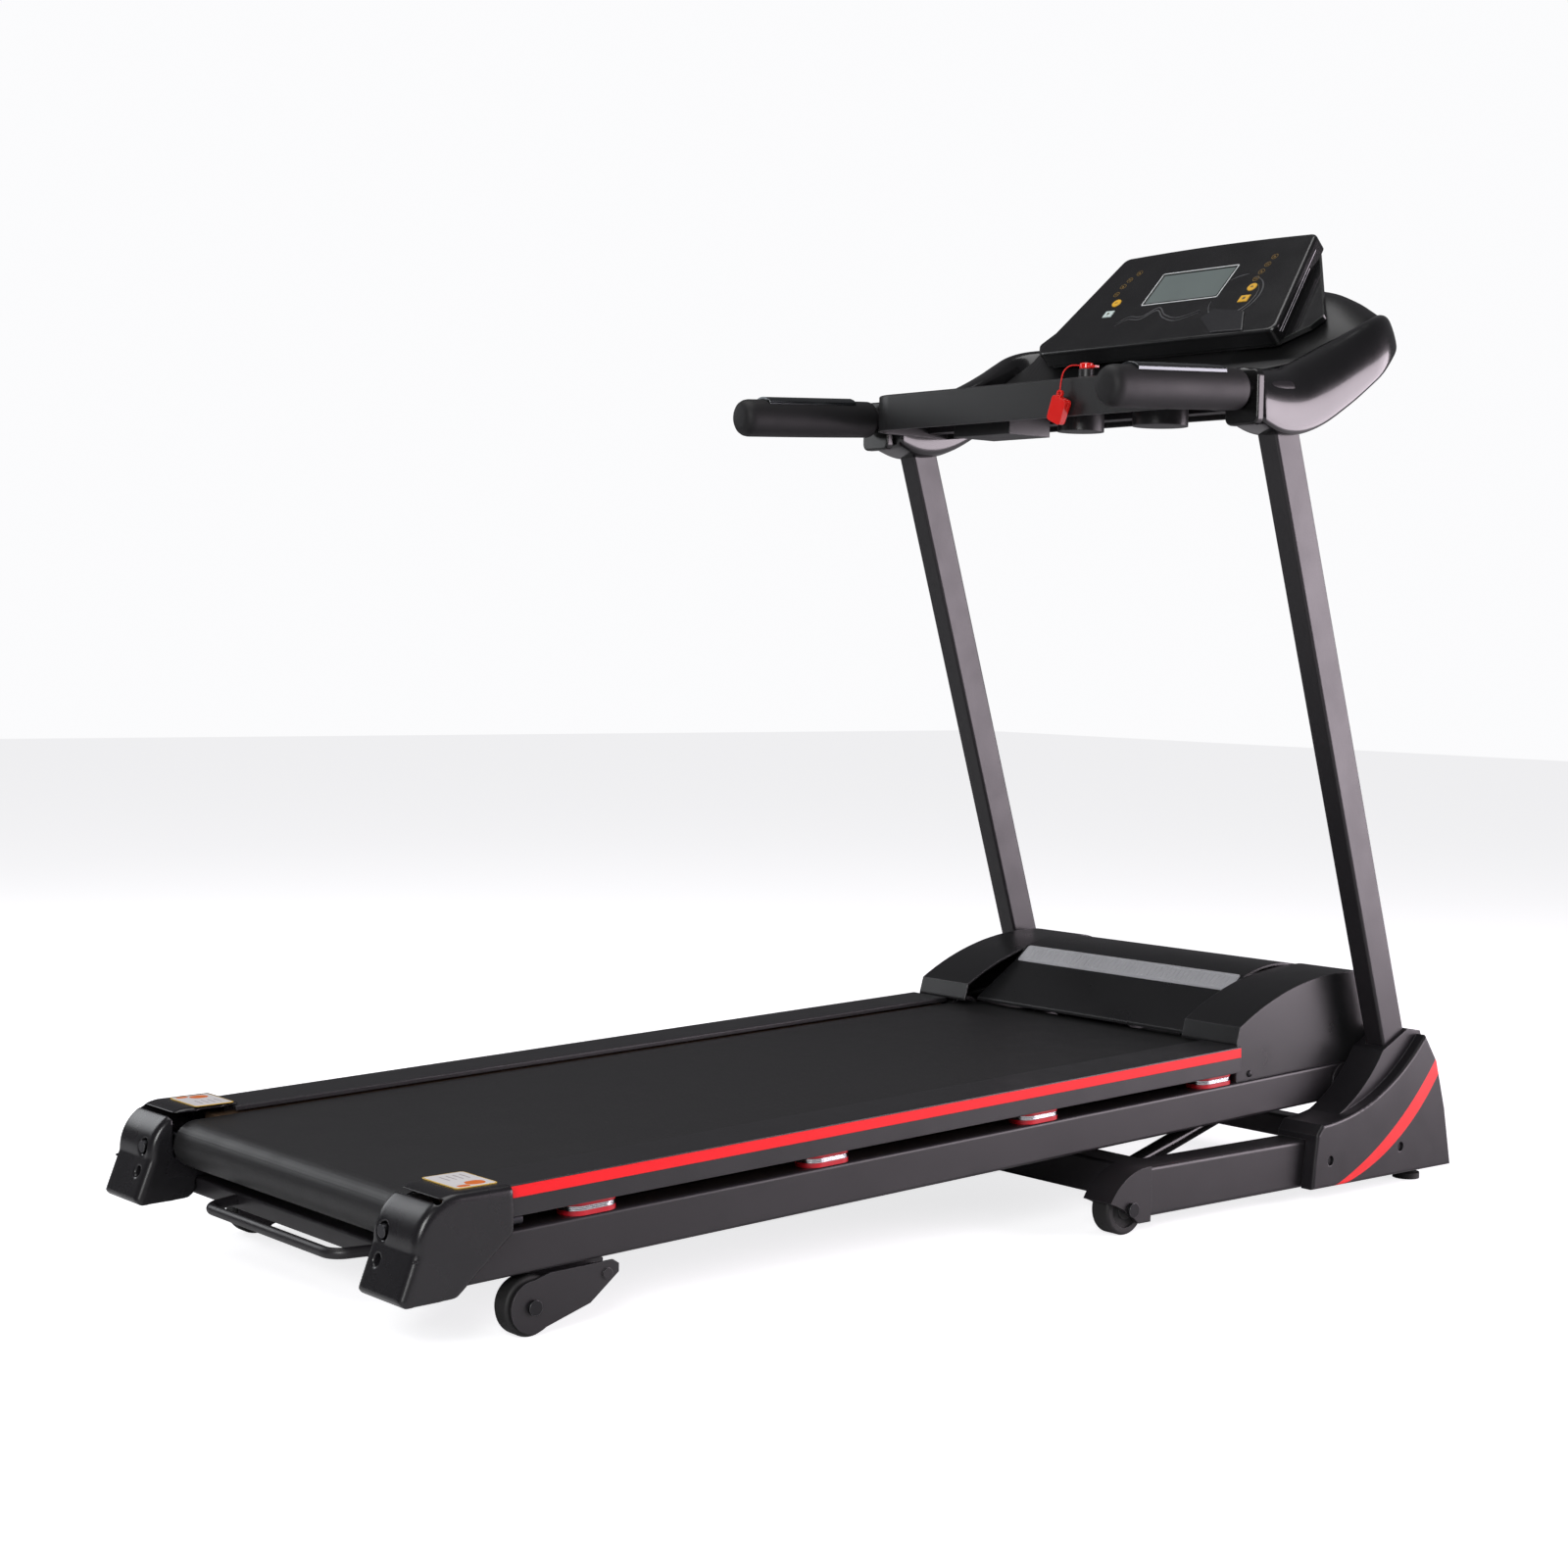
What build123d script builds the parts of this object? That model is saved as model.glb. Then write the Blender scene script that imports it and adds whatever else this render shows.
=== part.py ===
from build123d import *
from math import atan2, cos, degrees, hypot, radians, sin, tan
import os

# A folding motorised treadmill. Millimetres, +X to the runner's right, +Y towards the console,
# +Z up, origin on the floor under the middle of the whole machine.

# Overall
HALF_LENGTH = 822.0
HALF_WIDTH = 370.0

# Base frame: two side tubes that carry the uprights
TUBE_X = (304.0, 350.0)
TUBE_Y = (233.0, 800.0)
TUBE_Z = (20.0, 82.0)
TUBE_WALL = 2.5
WHEEL_HUB = (198.0, 33.0)
WHEEL_R = 33.0
WHEEL_BORE_R = 6.05
AXLE_R = 6.0
FOOT_Y = 780.0
FOOT_X = 327.0
REAR_CROSS_Y = (240.0, 290.0)
REAR_CROSS_Z = (30.0, 75.0)
FRONT_CROSS_Y = (768.0, 798.0)
FRONT_CROSS_Z = (24.0, 56.0)

# Uprights lean back towards the runner
LEAN = 18.19
UPRIGHT_X = 333.0
UPRIGHT_SECTION = (31.0, 46.5)
UPRIGHT_WALL = 2.0
UPRIGHT_FOOT_Y = 753.3
UPRIGHT_TOP_Z = 1012.0

# Deck: drawn level, then tilted about the X axis at the origin
TILT = 2.137
BEAM_X = (260.0, 300.0)
BEAM_Z = (92.2, 140.2)
BEAM_Y = (-790.0, 735.0)
BEAM_WALL = 2.0
RAIL_X = (240.0, 309.0)
RAIL_Z = (156.2, 189.2)
RAIL_Y = (-690.0, 453.0)
RAIL_WALL = 3.0
BOARD_Z = (161.0, 179.0)
BOARD_Y = (-708.0, 450.0)
BELT_HALF_WIDTH = 236.0
BELT_THICK = 2.0
ROLLER_R = 25.0
ROLLER_Z = 154.0
REAR_ROLLER_Y = -745.0
FRONT_ROLLER_Y = 492.0
ROLLER_AXLE_R = 8.0
CUSHION_Y = (-565.0, -240.0, 99.0, 420.0)
CUSHION_SIZE = (38.0, 66.0)
CUSHION_X = 281.0
CAP_X = (240.0, 325.0)
HOOD_X = 299.0
HOOD_RECESS_X = 205.0
HOOD_WALL = 3.0

# Fold pivot and gas strut, in the machine's own axes
PIVOT = (668.0, 141.0)
PIVOT_R = 8.0
STRUT_X = 230.0
STRUT_BASE = (320.0, 50.0)
STRUT_DECK = (605.0, 132.0)
STRUT_PIN_R = 5.0

# Drive: the motor's shaft, level-deck axes, and the two belt pulleys
MOTOR = (680.0, 180.0)
MOTOR_SHAFT_R = 6.0
MOTOR_PULLEY_R = 18.0
ROLLER_PULLEY_R = 33.0
PULLEY_X = (-254.0, -241.0)
DRIVE_BELT_THICK = 3.0

# Rear leg that sets the incline
LEG_PIVOT = (-556.0, 54.0)
LEG_HUB = (-648.0, 32.0)
LEG_WHEEL_R = 32.0
LEG_PIN_R = 6.0

# Handles and console
GRIP_X = 341.0
GRIP_Y = (122.5, 362.0)
GRIP_HALF = (24.0, 26.5)
GRIP_Z = 1024.5
GRIP_SLOPE = 3.4
HANDLE_R = 15.0
CROSSBAR_Z = (1022.0, 1046.0)
ARM_X = (300.0, 365.0)
TRAY_HALF = 299.5
TRAY_Y = (318.0, 480.0)
TRAY_Z = (1016.0, 1066.0)
CUPS = ((190.0, 33.0), (50.0, 28.0))
CUP_Y = 392.0
CUP_FLOOR = 1003.0
POCKET_X = (-152.0, -44.0)
POCKET_Y = (352.0, 430.0)
KEY_SOCKET = (112.0, 334.0)
PANEL_TILT = 46.4
PANEL_FOOT = (577.0, 1142.0)
PANEL_HEIGHT = 207.0
PANEL_BOTTOM_HALF = 222.0
PANEL_TOP_HALF = 176.0
PANEL_DEPTH = 24.0
KEY_X = 125.0
SQUARE_KEY_V = 76.0
ROUND_KEY_V = 100.0
SCREEN_HALF = 66.0
SCREEN_V = (91.0, 152.0)

# Safety cord: its route from the key's loop to the clip's ring
CORD_ROUTE = [(103.5, 334, 1082), (96, 324, 1084), (92, 313, 1076), (91, 309, 1062), (90, 309, 1050)]
CORD_R = 1.0

RUNNING_GAP = 0.05
CLEAR = 0.4


def span(low, high):
    return (low + high) / 2


def block(x, y, z):
    size = Box(x[1] - x[0], y[1] - y[0], z[1] - z[0])
    return Pos(span(*x), span(*y), span(*z)) * size


def round_x(radius, x, centre):
    """A round bar along X, its centre given as (y, z)."""
    return Pos(span(*x), *centre) * Rot(0, 90, 0) * Cylinder(radius, x[1] - x[0])


def round_y(radius, y, x, z):
    return Pos(x, span(*y), z) * Rot(90, 0, 0) * Cylinder(radius, y[1] - y[0])


def slab_x(outline, x):
    """An outline drawn as (y, z), given a thickness along X."""
    face = Plane.YZ * make_face(outline)
    return Pos(x[0], 0, 0) * extrude(face, x[1] - x[0], dir=(1, 0, 0))


def inset_slab_x(outline, x, wall):
    face = offset(make_face(outline), -wall, kind=Kind.INTERSECTION)
    return Pos(x[0], 0, 0) * extrude(Plane.YZ * face, x[1] - x[0], dir=(1, 0, 0))


def other_side(shape):
    return mirror(shape, about=Plane.YZ)


def both_sides(shape):
    return [shape, other_side(shape)]


def on_deck(shape):
    """Carries a shape drawn on the level deck to its place on the tilted one."""
    return Rot(TILT, 0, 0) * shape


def deck_yz(point):
    """A point of the machine's own axes, as the level deck sees it."""
    turn = radians(TILT)
    y, z = point
    return (y * cos(turn) + z * sin(turn), z * cos(turn) - y * sin(turn))


def write(name, shapes):
    group = shapes if isinstance(shapes, list) else [shapes]
    solids = [solid for shape in group for solid in shape.solids()]
    part = Compound(solids)
    part.label = name
    export_step(part, f"parts/{name}.step")


# ---------------------------------------------------------------- base frame


def wheel_housing():
    y, z = WHEEL_HUB
    outline = Polyline((212, 14), (233, 14), (233, 82))
    outline += ThreePointArc((233, 82), (186, 70), (161, 44))
    outline += ThreePointArc((161, 44), (188, 32), (212, 14))
    housing = slab_x(outline, TUBE_X)
    housing -= round_x(WHEEL_R + 1.7, (311, 343), (y, z))
    return housing - round_x(AXLE_R, TUBE_X, (y, z))


def pivot_bracket():
    y, z = PIVOT
    web = Polyline((y - 60, 24), (y + 50, 24), (y + 23, z), (y - 23, z), (y - 60, 24))
    web = slab_x(web, (301, 304))
    plate = web + round_x(24, (301, 304), PIVOT)
    return plate - round_x(PIVOT_R, (300, 305), PIVOT)


def base_tube():
    tube = block(TUBE_X, TUBE_Y, TUBE_Z)
    tube = fillet(tube.edges().filter_by(Axis.Y), 5)
    inside_x = (TUBE_X[0] + TUBE_WALL, TUBE_X[1] - TUBE_WALL)
    inside_z = (TUBE_Z[0] + TUBE_WALL, TUBE_Z[1] - TUBE_WALL)
    tube -= block(inside_x, (TUBE_Y[0] - 1, TUBE_Y[1] + 1), inside_z)
    tube += pivot_bracket()
    tube -= Pos(FOOT_X, FOOT_Y, TUBE_Z[0]) * Cylinder(5, 20)
    return [tube, wheel_housing()]


def base_cross_tubes():
    rear = block((-TUBE_X[0], TUBE_X[0]), REAR_CROSS_Y, REAR_CROSS_Z)
    rear = fillet(rear.edges().filter_by(Axis.X), 4)
    rear -= block((-TUBE_X[0], TUBE_X[0]), (243, 287), (33, 72))
    y, z = STRUT_BASE
    ear = Polyline((290, z - 16), (y, z - 12), (y + 12, z), (y, z + 12), (290, z + 20), (290, z - 16))
    ears = []
    for x in (STRUT_X - 13, STRUT_X + 13):
        ears.append(slab_x(ear, (x - 2, x + 2)) - round_x(STRUT_PIN_R, (x - 3, x + 3), STRUT_BASE))
    front = block((-TUBE_X[0], TUBE_X[0]), FRONT_CROSS_Y, FRONT_CROSS_Z)
    front = fillet(front.edges().filter_by(Axis.X), 4)
    front -= block((-TUBE_X[0], TUBE_X[0]), (771, 795), (27, 53))
    return [rear, front] + ears


def upright(grow=0.0, wall=UPRIGHT_WALL):
    width, depth = UPRIGHT_SECTION
    height = (UPRIGHT_TOP_Z - TUBE_Z[1]) / cos(radians(LEAN))
    tube = Box(width + 2 * grow, depth + 2 * grow, height + 60)
    tube = fillet(tube.edges().filter_by(Axis.Z), 4)
    if wall:
        tube -= Box(width - 2 * wall, depth - 2 * wall, height + 60)
    middle = height / 2 - 30
    place = Pos(UPRIGHT_X, UPRIGHT_FOOT_Y, TUBE_Z[1]) * Rot(LEAN, 0, 0) * Pos(0, 0, middle)
    tube = place * tube
    floor = block((280, 390), (300, 900), (-100, TUBE_Z[1]))
    return tube - floor


def side_cover_outline():
    outline = Polyline((HALF_LENGTH, 20), (523, 20), (526, 52), (531, 90), (542, 103))
    outline += ThreePointArc((542, 103), (668, 136), (757, 203))
    outline += Polyline((757, 203), (784, 166), (805, 100), (HALF_LENGTH, 20))
    return outline


def collar_outline():
    outline = Polyline((800, 40), (560, 40), (560, 98))
    outline += ThreePointArc((560, 98), (632, 132), (684, 186))
    outline += Polyline((684, 186), (736, 211), (764, 207), (784, 160), (800, 100), (800, 40))
    return outline


def side_cover():
    outer = slab_x(side_cover_outline(), (304.8, HALF_WIDTH))
    outer = fillet(outer.edges().group_by(Axis.X)[-1], 4)
    outer += slab_x(collar_outline(), (304.8, 354))
    hollow = inset_slab_x(side_cover_outline(), (300, HALF_WIDTH - 4), 3)
    hollow += inset_slab_x(collar_outline(), (300, 350.6), 3)
    cover = outer - hollow - Pos(0, 0, -8) * inset_slab_x(side_cover_outline(), (300, HALF_WIDTH - 4), 3)
    cover -= block((300, 350.8), (500, 560), (0, 82.6))
    cover -= upright(grow=CLEAR, wall=0)
    for y, z in ((558, 55), (707, 57)):
        cover -= round_x(6.5, (350, 372), (y, z))
    return cover


def levelling_foot():
    foot = Pos(FOOT_X, FOOT_Y, 4) * Cylinder(18, 8)
    foot += Pos(FOOT_X, FOOT_Y, 11) * Cone(15, 8, 6)
    foot += Pos(FOOT_X, FOOT_Y, 17) * extrude(RegularPolygon(9, 6), 6).moved(Pos(0, 0, -3))
    return foot + Pos(FOOT_X, FOOT_Y, 24) * Cylinder(5, 10)


def base_bolts():
    """Pivot bolts, transport axles, cover screws, strut pin and console bolts."""
    bolts = []
    axle = round_x(AXLE_R, TUBE_X, WHEEL_HUB) + round_x(9, (350, 355), WHEEL_HUB)
    pivot = round_x(PIVOT_R, (262, 304), PIVOT) + round_x(13, (304, 311), PIVOT)
    bolts += both_sides(axle) + both_sides(pivot)
    for y, z in ((558, 55), (707, 57)):
        bolts += both_sides(round_x(6.2, (350, 367), (y, z)))
    pin = round_x(STRUT_PIN_R, (STRUT_X - 15, STRUT_X + 15), STRUT_BASE)
    pin += round_x(8, (STRUT_X + 15, STRUT_X + 19), STRUT_BASE)
    pin += round_x(8, (STRUT_X - 19, STRUT_X - 15), STRUT_BASE)
    return bolts + [pin]


def wheel(radius, x, hub, bore):
    tyre = round_x(radius, x, hub)
    tyre = fillet(tyre.edges().filter_by(GeomType.CIRCLE), 4)
    for face_x in x:
        tyre -= round_x(radius * 0.72, (face_x - 3, face_x + 3), hub)
    tyre += round_x(radius * 0.4, x, hub)
    return tyre - round_x(bore, (x[0] - 1, x[1] + 1), hub)


# ---------------------------------------------------------------- gas strut

STRUT_LENGTH = hypot(STRUT_DECK[0] - STRUT_BASE[0], STRUT_DECK[1] - STRUT_BASE[1])
STRUT_ANGLE = degrees(atan2(STRUT_DECK[1] - STRUT_BASE[1], STRUT_DECK[0] - STRUT_BASE[0]))


def along_strut(shape):
    """Carries a shape drawn along Z from the lower eye to the strut's line."""
    return Pos(STRUT_X, *STRUT_BASE) * Rot(STRUT_ANGLE - 90, 0, 0) * shape


def eye(width, bore):
    ring = Rot(0, 90, 0) * Cylinder(10, width)
    return ring, Rot(0, 90, 0) * Cylinder(bore, width + 2)


def strut_cylinder():
    ring, bore = eye(20, STRUT_PIN_R + RUNNING_GAP)
    body = ring + Pos(0, 0, 92) * Cylinder(11, 168)
    body = body - bore - Pos(0, 0, 97) * Cylinder(9, 150)
    return along_strut(body - Pos(0, 0, 174) * Cylinder(4 + RUNNING_GAP, 10))


def strut_rod():
    low, high = 46, STRUT_LENGTH
    ring, bore = eye(14, STRUT_PIN_R + RUNNING_GAP)
    rod = Pos(0, 0, span(low, high)) * Cylinder(4, high - low)
    rod += Pos(0, 0, low) * Cylinder(9 - RUNNING_GAP, 8)
    rod += Pos(0, 0, high) * ring
    return along_strut(rod - Pos(0, 0, high) * bore)


# ---------------------------------------------------------------- deck


def frame_beam():
    beam = block(BEAM_X, BEAM_Y, BEAM_Z)
    beam = fillet(beam.edges().filter_by(Axis.Y), 4)
    inside_x = (BEAM_X[0] + BEAM_WALL, BEAM_X[1] - BEAM_WALL)
    inside_z = (BEAM_Z[0] + BEAM_WALL, BEAM_Z[1] - BEAM_WALL)
    beam -= block(inside_x, (BEAM_Y[0] - 1, BEAM_Y[1] + 1), inside_z)
    pivot = deck_yz(PIVOT)
    beam += round_x(12, BEAM_X, pivot)
    beam -= round_x(PIVOT_R + RUNNING_GAP, (258, 302), pivot)
    for y in (REAR_ROLLER_Y, FRONT_ROLLER_Y):
        beam += block((264, 296), (y - 16, y + 16), (BEAM_Z[1] - 1, ROLLER_Z - ROLLER_AXLE_R))
    return on_deck(beam)


def leg_ear():
    """The plate under a beam that carries one pin of the leg."""
    leg = deck_yz(LEG_PIVOT)
    ear = Polyline(
        (leg[0] - 16, BEAM_Z[0]), (leg[0] - 12, leg[1] - 8), (leg[0] + 12, leg[1] - 8),
        (leg[0] + 16, BEAM_Z[0]), (leg[0] - 16, BEAM_Z[0]),
    )
    return slab_x(ear, (262, 268)) - round_x(LEG_PIN_R, (255, 270), leg)


def deck_cross_tubes():
    reach = (-BEAM_X[0], BEAM_X[0])
    tubes = []
    for y, z in (((-742, -704), (92.2, 112)), ((-80, -40), (94, 122)), ((634, 666), (94, 126))):
        tube = block(reach, y, z)
        tube = fillet(tube.edges().filter_by(Axis.X), 3)
        tubes.append(tube - block(reach, (y[0] + 2, y[1] - 2), (z[0] + 2, z[1] - 2)))
    y, z = deck_yz(STRUT_DECK)
    ear = Polyline((634, z - 12), (y, z - 11), (y - 11, z), (y, z + 11), (634, z + 14), (634, z - 12))
    for x in (STRUT_X - 12, STRUT_X + 12):
        tubes.append(slab_x(ear, (x - 2, x + 2)) - round_x(STRUT_PIN_R, (x - 3, x + 3), (y, z)))
    plate = block((-236, 255), (532, 735), (126, 129))
    return [on_deck(tube) for tube in tubes + both_sides(leg_ear()) + [plate]]


def lift_loop():
    path = FilletPolyline(
        (149, -738, 103), (137, -784, 103), (-137, -784, 103), (-149, -738, 103), radius=22
    )
    start = Plane(origin=(149, -738, 103), z_dir=(137 - 149, -784 + 738, 0))
    loop = sweep(start * Circle(6), path=path)
    return on_deck(loop - block((-260, 260), (-742, -700), (80, 120)))


def walking_board():
    return on_deck(block((-283, 283), BOARD_Y, BOARD_Z))


def belt_loop(y, z, radii, x):
    """A closed belt round two pulleys: (y, z) of each, and the belt's inner and outer gap."""
    shapes = []
    for gap in radii:
        rounds = Sketch()
        rounds += Pos(y[0], z[0]) * Circle(gap[0])
        rounds += Pos(y[1], z[1]) * Circle(gap[1])
        shapes.append(make_hull(rounds.edges()))
    outer, inner = [Plane.YZ * face for face in shapes]
    ring = extrude(outer, x[1] - x[0], dir=(1, 0, 0)) - extrude(inner, x[1] - x[0], dir=(1, 0, 0))
    return on_deck(Pos(x[0], 0, 0) * ring)


def running_belt():
    inner = ROLLER_R + 0.3
    return belt_loop(
        (REAR_ROLLER_Y, FRONT_ROLLER_Y), (ROLLER_Z, ROLLER_Z),
        ((inner + BELT_THICK, inner + BELT_THICK), (inner, inner)),
        (-BELT_HALF_WIDTH, BELT_HALF_WIDTH),
    )


def side_rail():
    low, high = RAIL_X
    rail = block((low, high), RAIL_Y, (RAIL_Z[1] - RAIL_WALL, RAIL_Z[1]))
    rail += block((high - RAIL_WALL, high), RAIL_Y, RAIL_Z)
    rail += block((low, low + RAIL_WALL), RAIL_Y, (183.5, RAIL_Z[1]))
    rail += block((268, 271), RAIL_Y, (BOARD_Z[1], RAIL_Z[1]))
    outer = rail.edges().filter_by(Axis.Y).group_by(Axis.Z)[-1]
    return on_deck(fillet(outer, 1.5))


def rail_stripe():
    return on_deck(block((RAIL_X[1], RAIL_X[1] + 0.8), (-682, 452), (175.4, 187.4)))


def stadium(size, z):
    width, length = size
    plate = Box(width, length, z[1] - z[0])
    plate = fillet(plate.edges().filter_by(Axis.Z), width / 2 - 1)
    return Pos(0, 0, span(*z)) * plate


def cushion_blocks():
    width, length = CUSHION_SIZE
    blocks = []
    for y in CUSHION_Y:
        place = Pos(CUSHION_X, y, 0)
        blocks.append(place * stadium((width, length), (BEAM_Z[1], 145.4)))
        blocks.append(place * stadium((width, length), (150.6, BOARD_Z[0])))
    return [on_deck(side) for part in blocks for side in both_sides(part)]


def cushion_rings():
    width, length = CUSHION_SIZE
    rings = stadium((width - 5, length - 5), (145.4, 150.6))
    for level in (145.6, 147.4, 149.2):
        rings += stadium((width, length), (level, level + 1.2))
    placed = [Pos(CUSHION_X, y, 0) * rings for y in CUSHION_Y]
    return [on_deck(side) for part in placed for side in both_sides(part)]


def end_cap():
    outline = Polyline((-749, 90), (-812, 90), (-819, 97), (-800, 142))
    outline += ThreePointArc((-800, 142), (-783, 181), (-745, 194.5))
    outline += Polyline((-745, 194.5), (-684, 193), (-684, 141), (-749, 90))
    cap = slab_x(outline, CAP_X)
    top = cap.edges().filter_by(lambda e: e.center().Z > 100 and e.center().Y < -700)
    cap = fillet([e for e in top if abs(e.tangent_at(0.5).X) < 0.5], 9)
    cap -= block((259.4, 300.6), (-791, -600), (91.6, BEAM_Z[1] + CLEAR))
    cap -= block((CAP_X[0] - 1, 309.6), (-770, -600), (BEAM_Z[1], RAIL_Z[1] + CLEAR))
    cap -= block((CAP_X[0] + 3, CAP_X[1] - 4), (-772, -702), (100, RAIL_Z[1] + CLEAR))
    cap -= block((CAP_X[0] - 1, 262), (-743, -703), (80, 113))
    cap -= round_y(9, (-840, -760), 261, ROLLER_Z)
    cap -= round_y(6, (-840, -760), 261, 126)
    return on_deck(cap)


def roller(y, with_pulley):
    body = round_x(ROLLER_R, (-BELT_HALF_WIDTH, BELT_HALF_WIDTH), (y, ROLLER_Z))
    if with_pulley:
        body += round_x(14, (-242, -230), (y, ROLLER_Z)) + round_x(ROLLER_PULLEY_R, PULLEY_X, (y, ROLLER_Z))
    return on_deck(body - round_x(ROLLER_AXLE_R + RUNNING_GAP, (-260, 260), (y, ROLLER_Z)))


def roller_axles():
    rear = round_x(ROLLER_AXLE_R, (-290, 290), (REAR_ROLLER_Y, ROLLER_Z))
    front = round_x(ROLLER_AXLE_R, (-290, 290), (FRONT_ROLLER_Y, ROLLER_Z))
    parts = []
    for side in (-1, 1):
        rear -= round_y(4, (-760, -730), side * 261, ROLLER_Z)
        bolt = round_y(4, (-800, -735), side * 261, ROLLER_Z)
        parts.append(bolt + round_y(7, (-800, -792), side * 261, ROLLER_Z))
        parts.append(round_y(7.5, (-698, -655), side * 289, 148.5))
    return [on_deck(part) for part in [rear, front] + parts]


def drive_motor():
    body = round_x(42, (-215, -70), MOTOR)
    body += round_x(36, (-225, -60), MOTOR)
    foot = block((-190, -95), (MOTOR[0] - 30, MOTOR[0] + 30), (129, MOTOR[1]))
    body += foot
    return on_deck(body - round_x(MOTOR_SHAFT_R + RUNNING_GAP, (-230, -50), MOTOR))


def motor_rotor():
    rotor = round_x(MOTOR_SHAFT_R, (-256, -26), MOTOR)
    rotor += round_x(MOTOR_PULLEY_R, PULLEY_X, MOTOR)
    return on_deck(rotor + round_x(38, (-50, -30), MOTOR))


def drive_belt():
    inner = (ROLLER_PULLEY_R + 0.3, MOTOR_PULLEY_R + 0.3)
    outer = (inner[0] + DRIVE_BELT_THICK, inner[1] + DRIVE_BELT_THICK)
    width = (PULLEY_X[0] + 1, PULLEY_X[1] - 1)
    return belt_loop((FRONT_ROLLER_Y, MOTOR[0]), (ROLLER_Z, MOTOR[1]), (outer, inner), width)


def controller_board():
    board = block((20, 210), (560, 700), (135, 137))
    parts = board
    for x in (30, 200):
        for y in (570, 690):
            parts += Pos(x, y, 132) * Cylinder(4, 6)
    parts += block((40, 120), (640, 692), (137, 143))
    for fin in range(9):
        parts += block((42 + 9 * fin, 44 + 9 * fin), (640, 692), (142, 178))
    for x in (150, 180):
        parts += Pos(x, 600, 152) * Cylinder(11, 30)
    return on_deck(parts)


def hood_middle():
    outline = Polyline((758, 168), (474, 158), (474, 209), (549, 257), (575, 278))
    outline += ThreePointArc((575, 278), (655, 290), (740, 268))
    outline += Polyline((740, 268), (758, 215), (758, 168))
    return outline


def hood_hump():
    outline = Polyline((758, 168.8), (450, 157.2), (449, 208), (455, 229))
    outline += ThreePointArc((455, 229), (566, 274), (680, 287))
    outline += ThreePointArc((680, 287), (715, 282), (742, 265))
    outline += Polyline((742, 265), (758, 215), (758, 168.8))
    return outline


def motor_hood():
    recess, wall = HOOD_RECESS_X, HOOD_WALL
    hood = slab_x(hood_middle(), (-recess, recess))
    hump = slab_x(hood_hump(), (recess, HOOD_X))
    hood = hood + hump + other_side(hump)
    hollow = inset_slab_x(hood_middle(), (-recess, recess), wall)
    side = inset_slab_x(hood_hump(), (recess - 1, HOOD_X - wall), wall)
    side += Pos(0, 0, -8) * inset_slab_x(hood_hump(), (recess - 1, HOOD_X - wall), wall)
    hollow += Pos(0, 0, -8) * inset_slab_x(hood_middle(), (-recess, recess), wall)
    hood = hood - hollow - side - other_side(side)
    hood -= block((-256, 256), (440, 480), (140, 205))
    return hood - block((160, 190), (740, 770), (190, 215))


def vent_strip():
    slope = degrees(atan2(278 - 257, 575 - 549))
    strip = Box(398, 32, 2)
    strip = fillet(strip.edges().filter_by(Axis.Z), 3)
    return Pos(0, 562, 267.5) * Rot(slope, 0, 0) * Pos(0, 0, 1.05) * strip


def power_switch():
    rocker = slab_x(Polyline((752, 195), (757.5, 195), (761, 210), (752, 210), (752, 195)), (167, 183))
    return rocker


# ---------------------------------------------------------------- incline leg


def leg_plate(x):
    y, z = LEG_HUB
    arm = Polyline(
        (y - 6, z + 26), (-628, 65), (-548, 67.5), (-541, 63), (-541, 54), (-577, 26),
        (y + 16, z - 22.6), (y, z), (y - 6, z + 26),
    )
    return slab_x(arm, x) + round_x(27.6, x, LEG_HUB)


def incline_leg():
    """One weldment: a cross tube, a pin at each end and two plates beside each wheel."""
    leg = round_x(12, (-261, 261), LEG_PIVOT)
    for side in both_sides(round_x(LEG_PIN_R - RUNNING_GAP, (255, 303), LEG_PIVOT)):
        leg += side
    plates = leg_plate((269.5, 272.5)) + leg_plate((298, 301))
    plates -= round_x(AXLE_R, (255, 310), LEG_HUB)
    for side in both_sides(plates):
        leg += side
    return leg


def leg_axles():
    axle = round_x(AXLE_R, (269.5, 301), LEG_HUB) + round_x(8, (301, 305), LEG_HUB)
    return both_sides(axle)


# ---------------------------------------------------------------- handles


def along_grip(shape):
    """Carries a shape drawn along +Y from the grip's near end to the right handle."""
    return Pos(GRIP_X, GRIP_Y[0], GRIP_Z) * Rot(GRIP_SLOPE, 0, 0) * shape


def handle_tubes():
    tubes = along_grip(round_y(HANDLE_R, (12, 335), 0, 0))
    bores = along_grip(round_y(HANDLE_R - 2, (10, 340), 0, 0))
    tubes += other_side(tubes)
    tubes += block((-GRIP_X, GRIP_X), (440, 466), CROSSBAR_Z)
    hollow = block((-GRIP_X, GRIP_X), (442, 464), (CROSSBAR_Z[0] + 2, CROSSBAR_Z[1] - 2))
    return tubes - bores - other_side(bores) - hollow


def foam_grip():
    length = GRIP_Y[1] - GRIP_Y[0]
    foam = extrude(Plane.XZ * Ellipse(*GRIP_HALF), -length)
    foam = fillet(foam.edges().sort_by(Axis.Y)[0], 12)
    foam = fillet(foam.edges().sort_by(Axis.Y)[-1], 3)
    return along_grip(foam - round_y(HANDLE_R, (11.9, length + 1), 0, 0))


def pulse_plates():
    wide, tall = GRIP_HALF
    outer = extrude(Plane.XZ * Ellipse(wide + 3, tall + 3), -160)
    inner = extrude(Plane.XZ * Ellipse(wide, tall), -160)
    plate = (outer - inner) & block((-17, 17), (0, 160), (15, 40))
    return both_sides(along_grip(Pos(0, 42, 0) * plate))


# ---------------------------------------------------------------- console


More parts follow.
